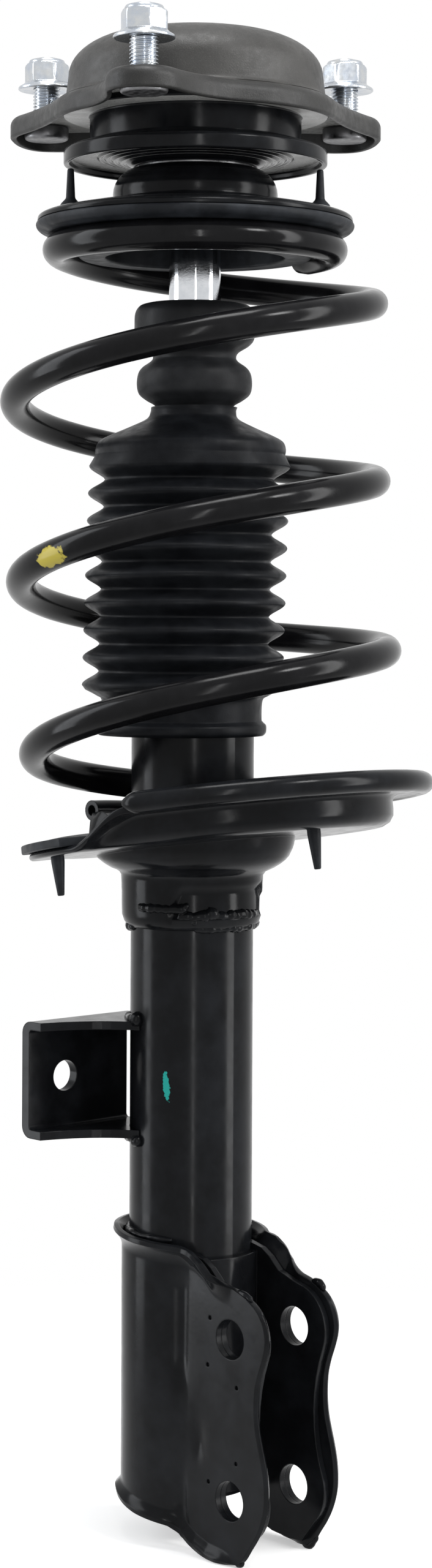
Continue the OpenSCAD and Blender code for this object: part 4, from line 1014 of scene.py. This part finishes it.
def sheet_shell(name, middle, thickness):
    """Closed sheet of even thickness round a grid of middle points, its edges rounded."""
    across = np.gradient(middle, axis=0)
    up = np.gradient(middle, axis=1)
    normal = np.cross(across, up)
    normal /= np.linalg.norm(normal, axis=2, keepdims=True)
    nu, nv = middle.shape[:2]
    loop = [(i, 0) for i in range(nu)] + [(nu - 1, j) for j in range(1, nv)]
    loop += [(i, nv - 1) for i in range(nu - 2, -1, -1)] + [(0, j) for j in range(nv - 2, 0, -1)]
    verts = [middle[i, j] + normal[i, j] * thickness / 2 for i in range(nu) for j in range(nv)]
    verts += [middle[i, j] - normal[i, j] * thickness / 2 for i in range(nu) for j in range(nv)]
    faces = []
    for i in range(nu - 1):
        for j in range(nv - 1):
            q = (i * nv + j, (i + 1) * nv + j, (i + 1) * nv + j + 1, i * nv + j + 1)
            faces.append(q)
            faces.append(tuple(k + nu * nv for k in reversed(q)))
    first = len(verts)
    for i, j in loop:
        inside = middle[min(max(i, 1), nu - 2), min(max(j, 1), nv - 2)]
        out = middle[i, j] - inside
        out -= normal[i, j] * np.dot(out, normal[i, j])
        verts.append(middle[i, j] + out / np.linalg.norm(out) * thickness * 0.35)
    for k, (i, j) in enumerate(loop):
        n = (k + 1) % len(loop)
        a, b = i * nv + j, loop[n][0] * nv + loop[n][1]
        faces.append((first + k, first + n, b, a))
        faces.append((a + nu * nv, b + nu * nv, first + n, first + k))
    return closed_mesh(name, verts, faces)


def bored(mesh, cutters):
    """Mesh with cylinders along Y taken out of it: (x, z, radius, from y, to y) each."""
    obj = new_object("bored", mesh)
    drills = []
    for x, z, r, low, high in cutters:
        rings = [[(x + r * math.cos(b), y, z + r * math.sin(b)) for b in np.arange(48) * 2 * np.pi / 48]
            for y in (low, high)]
        drill = new_object("drill", loft("drill", rings))
        cut = obj.modifiers.new("cut", "BOOLEAN")
        cut.operation = "DIFFERENCE"
        cut.solver = "EXACT"
        cut.object = drill
        drills.append(drill)
    done = bpy.data.meshes.new_from_object(obj.evaluated_get(bpy.context.evaluated_depsgraph_get()))
    for old in drills + [obj]:
        data = old.data
        bpy.data.objects.remove(old)
        bpy.data.meshes.remove(data)
    return done


def spaced(points, shares):
    """Points at given shares of the way along a smooth line."""
    line = along(points, 400)
    return np.stack([np.interp(shares, np.linspace(0, 1, 400), line[:, k]) for k in range(2)], axis=1)


def outward(d_foot, d_top, flare_foot, flare_top):
    """How far the sheet stands out of its plane near its lower and upper edge."""
    low = flare_foot * np.clip(1 - d_foot / 5.5, 0, 1) ** 2
    high = flare_top * np.clip(1 - d_top / 8, 0, 1) ** 2
    return low + high


def clear_of_boss(z):
    """1 along the folds, 0 at the boss half way up and near the ends."""
    return eased((np.abs(z - BOSS_Z) - 12) / 16) * eased((54 - np.abs(z - FOLD_MID_Z)) / 10)


def ear_grid(q):
    """Grids of x and z over an ear, spread evenly between its four edges."""
    p = np.linspace(0, 1, EAR_COLS)
    left_z = FOLD_FOOT_Z + (FOLD_TOP_Z - FOLD_FOOT_Z) * q
    left = np.stack([np.full(len(q), float(EAR_LEFT_X)), left_z], axis=1)
    right, foot, top = spaced(EAR_RIGHT, q), spaced(EAR_FOOT, p), spaced(EAR_TOP, p)
    P, Q = p[:, None, None], q[None, :, None]
    ear = (1 - P) * left[None] + P * right[None] + (1 - Q) * foot[:, None] + Q * top[:, None]
    ear -= (1 - P) * (1 - Q) * left[0] + P * (1 - Q) * right[0] + (1 - P) * Q * left[-1] + P * Q * right[-1]
    return ear[:, :, 0], ear[:, :, 1]


def ears(q):
    """Near and far ear, with flared edges and half of the boss at the fold."""
    x, z = ear_grid(q)
    top_z = np.interp(x, [t[0] for t in EAR_TOP], [t[1] for t in EAR_TOP])
    foot_z = np.interp(x, [t[0] for t in EAR_FOOT], [t[1] for t in EAR_FOOT])
    fade_top, fade_foot = 1 - eased((x - 34) / 14), 1 - eased((x - 40) / 12)
    stand = outward(z - foot_z, top_z - z, FLARE_FOOT * fade_foot, FLARE_TOP * fade_top)
    stand += 0.9 * np.exp(-((x - 20) / 8) ** 2 - ((z - BOSS_Z) / 22) ** 2)
    stand -= 1.1 * np.exp(-((x - 28.5) / 4) ** 2 - ((z + 558) / 8) ** 2)
    return [np.stack([x, side * (EAR_Y / MM + stand), z], axis=2) for side in (-1, 1)]


def sleeve(q):
    """The part of the sheet that wraps the tube, from fold to fold."""
    angles = np.radians(np.linspace(-50, -310, SLEEVE_COLS))
    away = np.degrees(np.pi - np.abs(np.pi + angles))
    foot_rows = [FOLD_FOOT_Z, -595, -592.4, -590, -587.6, -587]
    foot_z = np.interp(away, [46, 60, 90, 110, 130, 180], foot_rows)[:, None]
    top_z = np.interp(away, [46, 60, 90, 130, 180], [FOLD_TOP_Z, -480, -478.8, -476.8, -476.5])[:, None]
    z = foot_z + (top_z - foot_z) * q[None]
    flare_foot = np.interp(away, [46, 90, 120], [FLARE_FOOT, 3.0, 2.8])[:, None]
    flare_top = np.interp(away, [46, 90, 120], [FLARE_TOP, 4.4, 4.0])[:, None]
    stand = outward(z - foot_z, top_z - z, flare_foot, flare_top)
    ridge = np.exp(-((away - 50) / 14) ** 2)[:, None]
    stand += 0.8 * ridge * np.exp(-((z - BOSS_Z) / 22) ** 2)
    r = SLEEVE_R / MM + stand
    return np.stack([r * np.cos(angles)[:, None], r * np.sin(angles)[:, None], z], axis=2)


def creased(middle):
    """Evens out both folds, then presses a crease along each."""
    seams = (EAR_COLS, EAR_COLS + SLEEVE_COLS)
    for _ in range(2):
        even = middle.copy()
        for seam in seams:
            for i in range(seam - 2, seam + 2):
                even[i, :, :2] = (middle[i - 1, :, :2] + 2 * middle[i, :, :2] + middle[i + 1, :, :2]) / 4
        middle = even
    for seam in seams:
        for i in range(seam - 6, seam + 6):
            off = (i - seam + 0.5) * (1 if seam == EAR_COLS else -1)
            width = 3.0 if off > 0 else 1.1
            depth = CREASE * math.exp(-(off / width) ** 2) * clear_of_boss(middle[i, :, 2])
            middle[i, :, :2] *= 1 - (depth / np.linalg.norm(middle[i, :, :2], axis=1))[:, None]
    return middle


def knuckle_bracket():
    even = np.linspace(0, 1, BRACKET_ROWS)
    q = 0.55 * (0.5 - 0.5 * np.cos(np.pi * even)) + 0.45 * even
    near, far = ears(q)
    middle = creased(np.concatenate([near[::-1], sleeve(q), far], axis=0))
    holes = [(BOLT_X, z, BOLT_R, -0.1, 0.1) for z in (BOLT_LOW, BOLT_HIGH)]
    holes += [(x * MM, z * MM, PIT_R, -EAR_Y - 6 * MM, -EAR_Y - 0.3 * MM) for x, z in EAR_PITS]
    mesh = bored(sheet_shell("bracket_sheet", middle * MM, SHEET), holes)
    mesh.name = "bracket_sheet"
    obj = object_from("bracket_sheet", mesh, paint_black, "damper_tube", 42)
    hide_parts("knuckle_bracket")


knuckle_bracket()


# Weld beads, and the burrs at the ears

WELD_SIDES, DROP_SIDES, DROP_STEPS = 12, 14, 11


def weld(name, points, r, seed, lumps):
    """Lumpy bead along a line, its ends drawn in."""
    chance = np.random.default_rng(seed)
    line = np.array(points)
    n = len(line)
    ripple = 1 + 0.07 * np.sin(np.arange(n) * 1.1)
    ripple += lumps * np.convolve(chance.normal(size=n + 8), np.hanning(11)[1:-1] / 5, "valid") * 2
    ends = np.minimum(1, (np.minimum(np.arange(n), np.arange(n)[::-1]) + 0.4) / 4) ** 0.5
    return loft(name, tube_rings(line, r * np.clip(ripple, 0.7, 1.5) * ends, WELD_SIDES))


def round_line(r, z, start, end, n, sway=0.0, seed=0):
    """Points of an arc about Z whose height sways a little."""
    chance = np.random.default_rng(seed)
    heights = z + sway * np.convolve(chance.normal(size=n + 6), np.ones(7) / 7, "valid")
    angles = np.radians(np.linspace(start, end, n))
    return [(r * math.cos(a), r * math.sin(a), h) for a, h in zip(angles, heights)]


def blob(deg, z, r, size, seed):
    """A drop of weld: a short bead that swells in its middle."""
    chance = np.random.default_rng(seed)
    half = math.degrees(size / r)
    line = np.array(round_line(r, z, deg - half, deg + half, DROP_STEPS))
    swell = np.sqrt(np.maximum(0.02, 1 - np.linspace(-1, 1, DROP_STEPS) ** 2))
    swell = swell * (1 + 0.06 * chance.normal(size=DROP_STEPS))
    return loft("drop", tube_rings(line, size * swell, DROP_SIDES))


# Beads in millimetres and degrees: radius and height of the line, from and to angle, points, sway and its
# seed, radius of the bead, its seed and its lumps
BEADS = [
    (28.9, -340.3, -94, -47, 40, 0.3, 2, 2.1, 12, 0.05),
    (27.9, -343.4, -56, 34, 70, 0.7, 3, 2.0, 13, 0.16),
    (26.4, -348.6, -42, 60, 80, 0.5, 1, 1.9, 11, 0.16),
    (26.2, -349.6, 62, 250, 120, 0.5, 7, 2.0, 17, 0.16),
    (26.4, -388.6, -100, -164, 34, 0.3, 4, 1.9, 14, 0.16),
    (26.4, -438.4, -100, -164, 34, 0.3, 5, 1.9, 15, 0.16),
    (26.3, -478.3, 60, 300, 110, 0.25, 6, 1.5, 16, 0.16),
]
# Drops in the same units: angle, height and radius of the place, size and seed
DROPS = [(-26, -342.2, 28.2, 2.9, 21), (-41, -345.8, 28.4, 1.5, 22), (-48, -339, 29, 1.4, 23),
    (-8, -343, 28.2, 2.2, 24), (-103, -388, 26.6, 3.2, 25), (-101, -439, 26.6, 2.6, 26)]


def welds():
    parts = []
    for r, z, start, end, n, sway, line_seed, bead_r, seed, lumps in BEADS:
        line = round_line(r * MM, z * MM, start, end, n, sway * MM, line_seed)
        parts.append(weld("bead", line, bead_r * MM, seed, lumps))
    parts += [blob(deg, z * MM, r * MM, size * MM, seed) for deg, z, r, size, seed in DROPS]
    mesh = joined("weld_beads", parts)
    object_from("weld_beads", mesh, paint_black, "damper_tube", 60)


welds()


def shear_nubs():
    """Small burrs that the shears left at the corners of the ears."""
    near, far = -EAR_Y, EAR_Y
    lines = [[(50, near, -493.9), (53, near, -494.5), (56.2, near, -495.4), (58.4, near, -497)],
             [(49.5, near, -605.3), (52, near, -605.2), (54.2, near, -603.4)],
             [(53, far, -494.7), (56.2, far, -494.6), (58.8, far, -495.8), (60.2, far, -498)],
             [(48, far, -605.4), (52, far, -605.6), (55, far, -602.8), (56.8, far, -600)]]
    parts = []
    for i, line in enumerate(lines):
        points = smooth_line([(x * MM, y, z * MM) for x, y, z in line], 5)
        parts.append(weld("nub", points, 1.35 * MM, 40 + i, 0.1))
    mesh = joined("shear_nubs", parts)
    object_from("shear_nubs", mesh, paint_black, "damper_tube", 60)


shear_nubs()


# Stage, light and camera

def area_light(name, place, aim, size, power, colour):
    lamp = bpy.data.lights.new(name, "AREA")
    lamp.shape = "RECTANGLE"
    lamp.size, lamp.size_y = size
    lamp.energy = power
    lamp.color = colour
    obj = new_object(name, lamp)
    obj.location = place
    obj.rotation_euler = (Vector(aim) - Vector(place)).to_track_quat("-Z", "Y").to_euler()


FLOOR_R, FLOOR_SIDES = 0.8, 64


def seen_directly(tree):
    """1 for rays that show the background: the camera's, and those that a surface mirrors or lets through."""
    path = tree.nodes.new("ShaderNodeLightPath")
    seen = path.outputs["Is Camera Ray"]
    for kind in ("Is Glossy Ray", "Is Transmission Ray"):
        seen = worked(tree, "ShaderNodeMath", "MAXIMUM", seen, path.outputs[kind])
    return seen


def show_either(tree, factor, a, b, output):
    """Puts out one shader or another by a factor."""
    mix = tree.nodes.new("ShaderNodeMixShader")
    for i, value in enumerate((factor, a.outputs[0], b.outputs[0])):
        feed(mix, i, value)
    feed(tree.nodes[output], "Surface", mix.outputs[0])


def floor_material():
    """Pale floor that keeps the shadow and fades into the white surround."""
    mat, tree, shader = material("pale_floor")
    feed(shader, "Base Color", (0.82, 0.82, 0.82, 1))
    feed(shader, "Roughness", 0.9)
    feed(shader, "Specular IOR Level", 0.1)
    feed(shader, "Emission Color", (1, 1, 1, 1))
    feed(shader, "Emission Strength", spread(tree, seen_directly(tree), 0, 1, 0, 0.42))
    place = tree.nodes.new("ShaderNodeTexCoord").outputs["Object"]
    from_centre = worked(tree, "ShaderNodeVectorMath", "LENGTH", place)
    fade = spread(tree, from_centre, 0.12 * FLOOR_R, 0.6 * FLOOR_R, 0, 1)
    show_either(tree, fade, shader, tree.nodes.new("ShaderNodeBsdfTransparent"), "Material Output")
    return mat


def stage():
    mesh = bpy.data.meshes.new("floor")
    mesh.from_pydata(disc_ring(FLOOR_R, 0, FLOOR_SIDES), [], [tuple(range(FLOOR_SIDES))])
    floor = new_object("floor", mesh)
    floor.location.z = cad_box[0][2] - 1 * MM
    mesh.materials.append(floor_material())


# Camera: distance and eye level in metres, places in the photo in pixels
CAMERA_AZIMUTH = math.radians(47)
TOWARD = Vector((math.sin(CAMERA_AZIMUTH), -math.cos(CAMERA_AZIMUTH), 0))
RIGHT = Vector((math.cos(CAMERA_AZIMUTH), math.sin(CAMERA_AZIMUTH), 0))
CAMERA_DISTANCE = 1.300
EYE_LEVEL = -0.217
IMAGE_W, IMAGE_H = 706, 2560
AXIS_X_PX = 316
HORIZON_Y_PX = 1000
FOCAL_PX = 5000
SENSOR = 36.0
CAMERA_ROLL = math.radians(0.27)


def camera():
    data = bpy.data.cameras.new("camera")
    data.sensor_width = SENSOR
    data.lens = SENSOR * FOCAL_PX / IMAGE_H
    data.shift_x = (IMAGE_W / 2 - AXIS_X_PX) / IMAGE_H
    data.shift_y = (HORIZON_Y_PX - IMAGE_H / 2) / IMAGE_H
    obj = new_object("camera", data)
    place = TOWARD * CAMERA_DISTANCE + Vector((0, 0, EYE_LEVEL))
    look = (-TOWARD).to_track_quat("-Z", "Y").to_matrix().to_4x4()
    obj.matrix_world = Matrix.Translation(place) @ look @ Matrix.Rotation(CAMERA_ROLL, 4, "Z")
    bpy.context.scene.camera = obj


# Lamps: name, place to the right of, in front of and above the origin, size, power and colour
LIGHT_AIM = (0, 0, -0.28)
WHITE, COOL = (1, 1, 1), (0.93, 0.96, 1)
LAMPS = [
    ("right_box", 1.45, 0.35, 0.05, (0.36, 1.9), 20, WHITE),
    ("left_box", -1.45, -0.05, 0.05, (0.55, 1.9), 17, COOL),
    ("top_box", 0, 0.25, 1.3, (0.7, 0.5), 16, WHITE),
    ("front_strip", 0.12, 1.9, -0.1, (0.06, 1.6), 7, WHITE),
    ("right_key", 0.95, 0.8, 0.75, (0.3, 0.3), 10, WHITE),
]


def lights():
    """The lamps, in a white surround that gloss and metal show too."""
    for name, right, toward, up, size, power, colour in LAMPS:
        area_light(name, RIGHT * right + TOWARD * toward + Vector((0, 0, up)), LIGHT_AIM, size, power, colour)
    world = bpy.data.worlds.new("studio")
    world.use_nodes = True
    tree = world.node_tree
    dim, white = tree.nodes["Background"], tree.nodes.new("ShaderNodeBackground")
    for shade, strength in ((dim, 0.5), (white, 1)):
        feed(shade, "Color", (1, 1, 1, 1))
        feed(shade, "Strength", strength)
    show_either(tree, seen_directly(tree), dim, white, "World Output")
    bpy.context.scene.world = world


stage()
lights()
camera()
bpy.context.scene.view_settings.view_transform = "Standard"
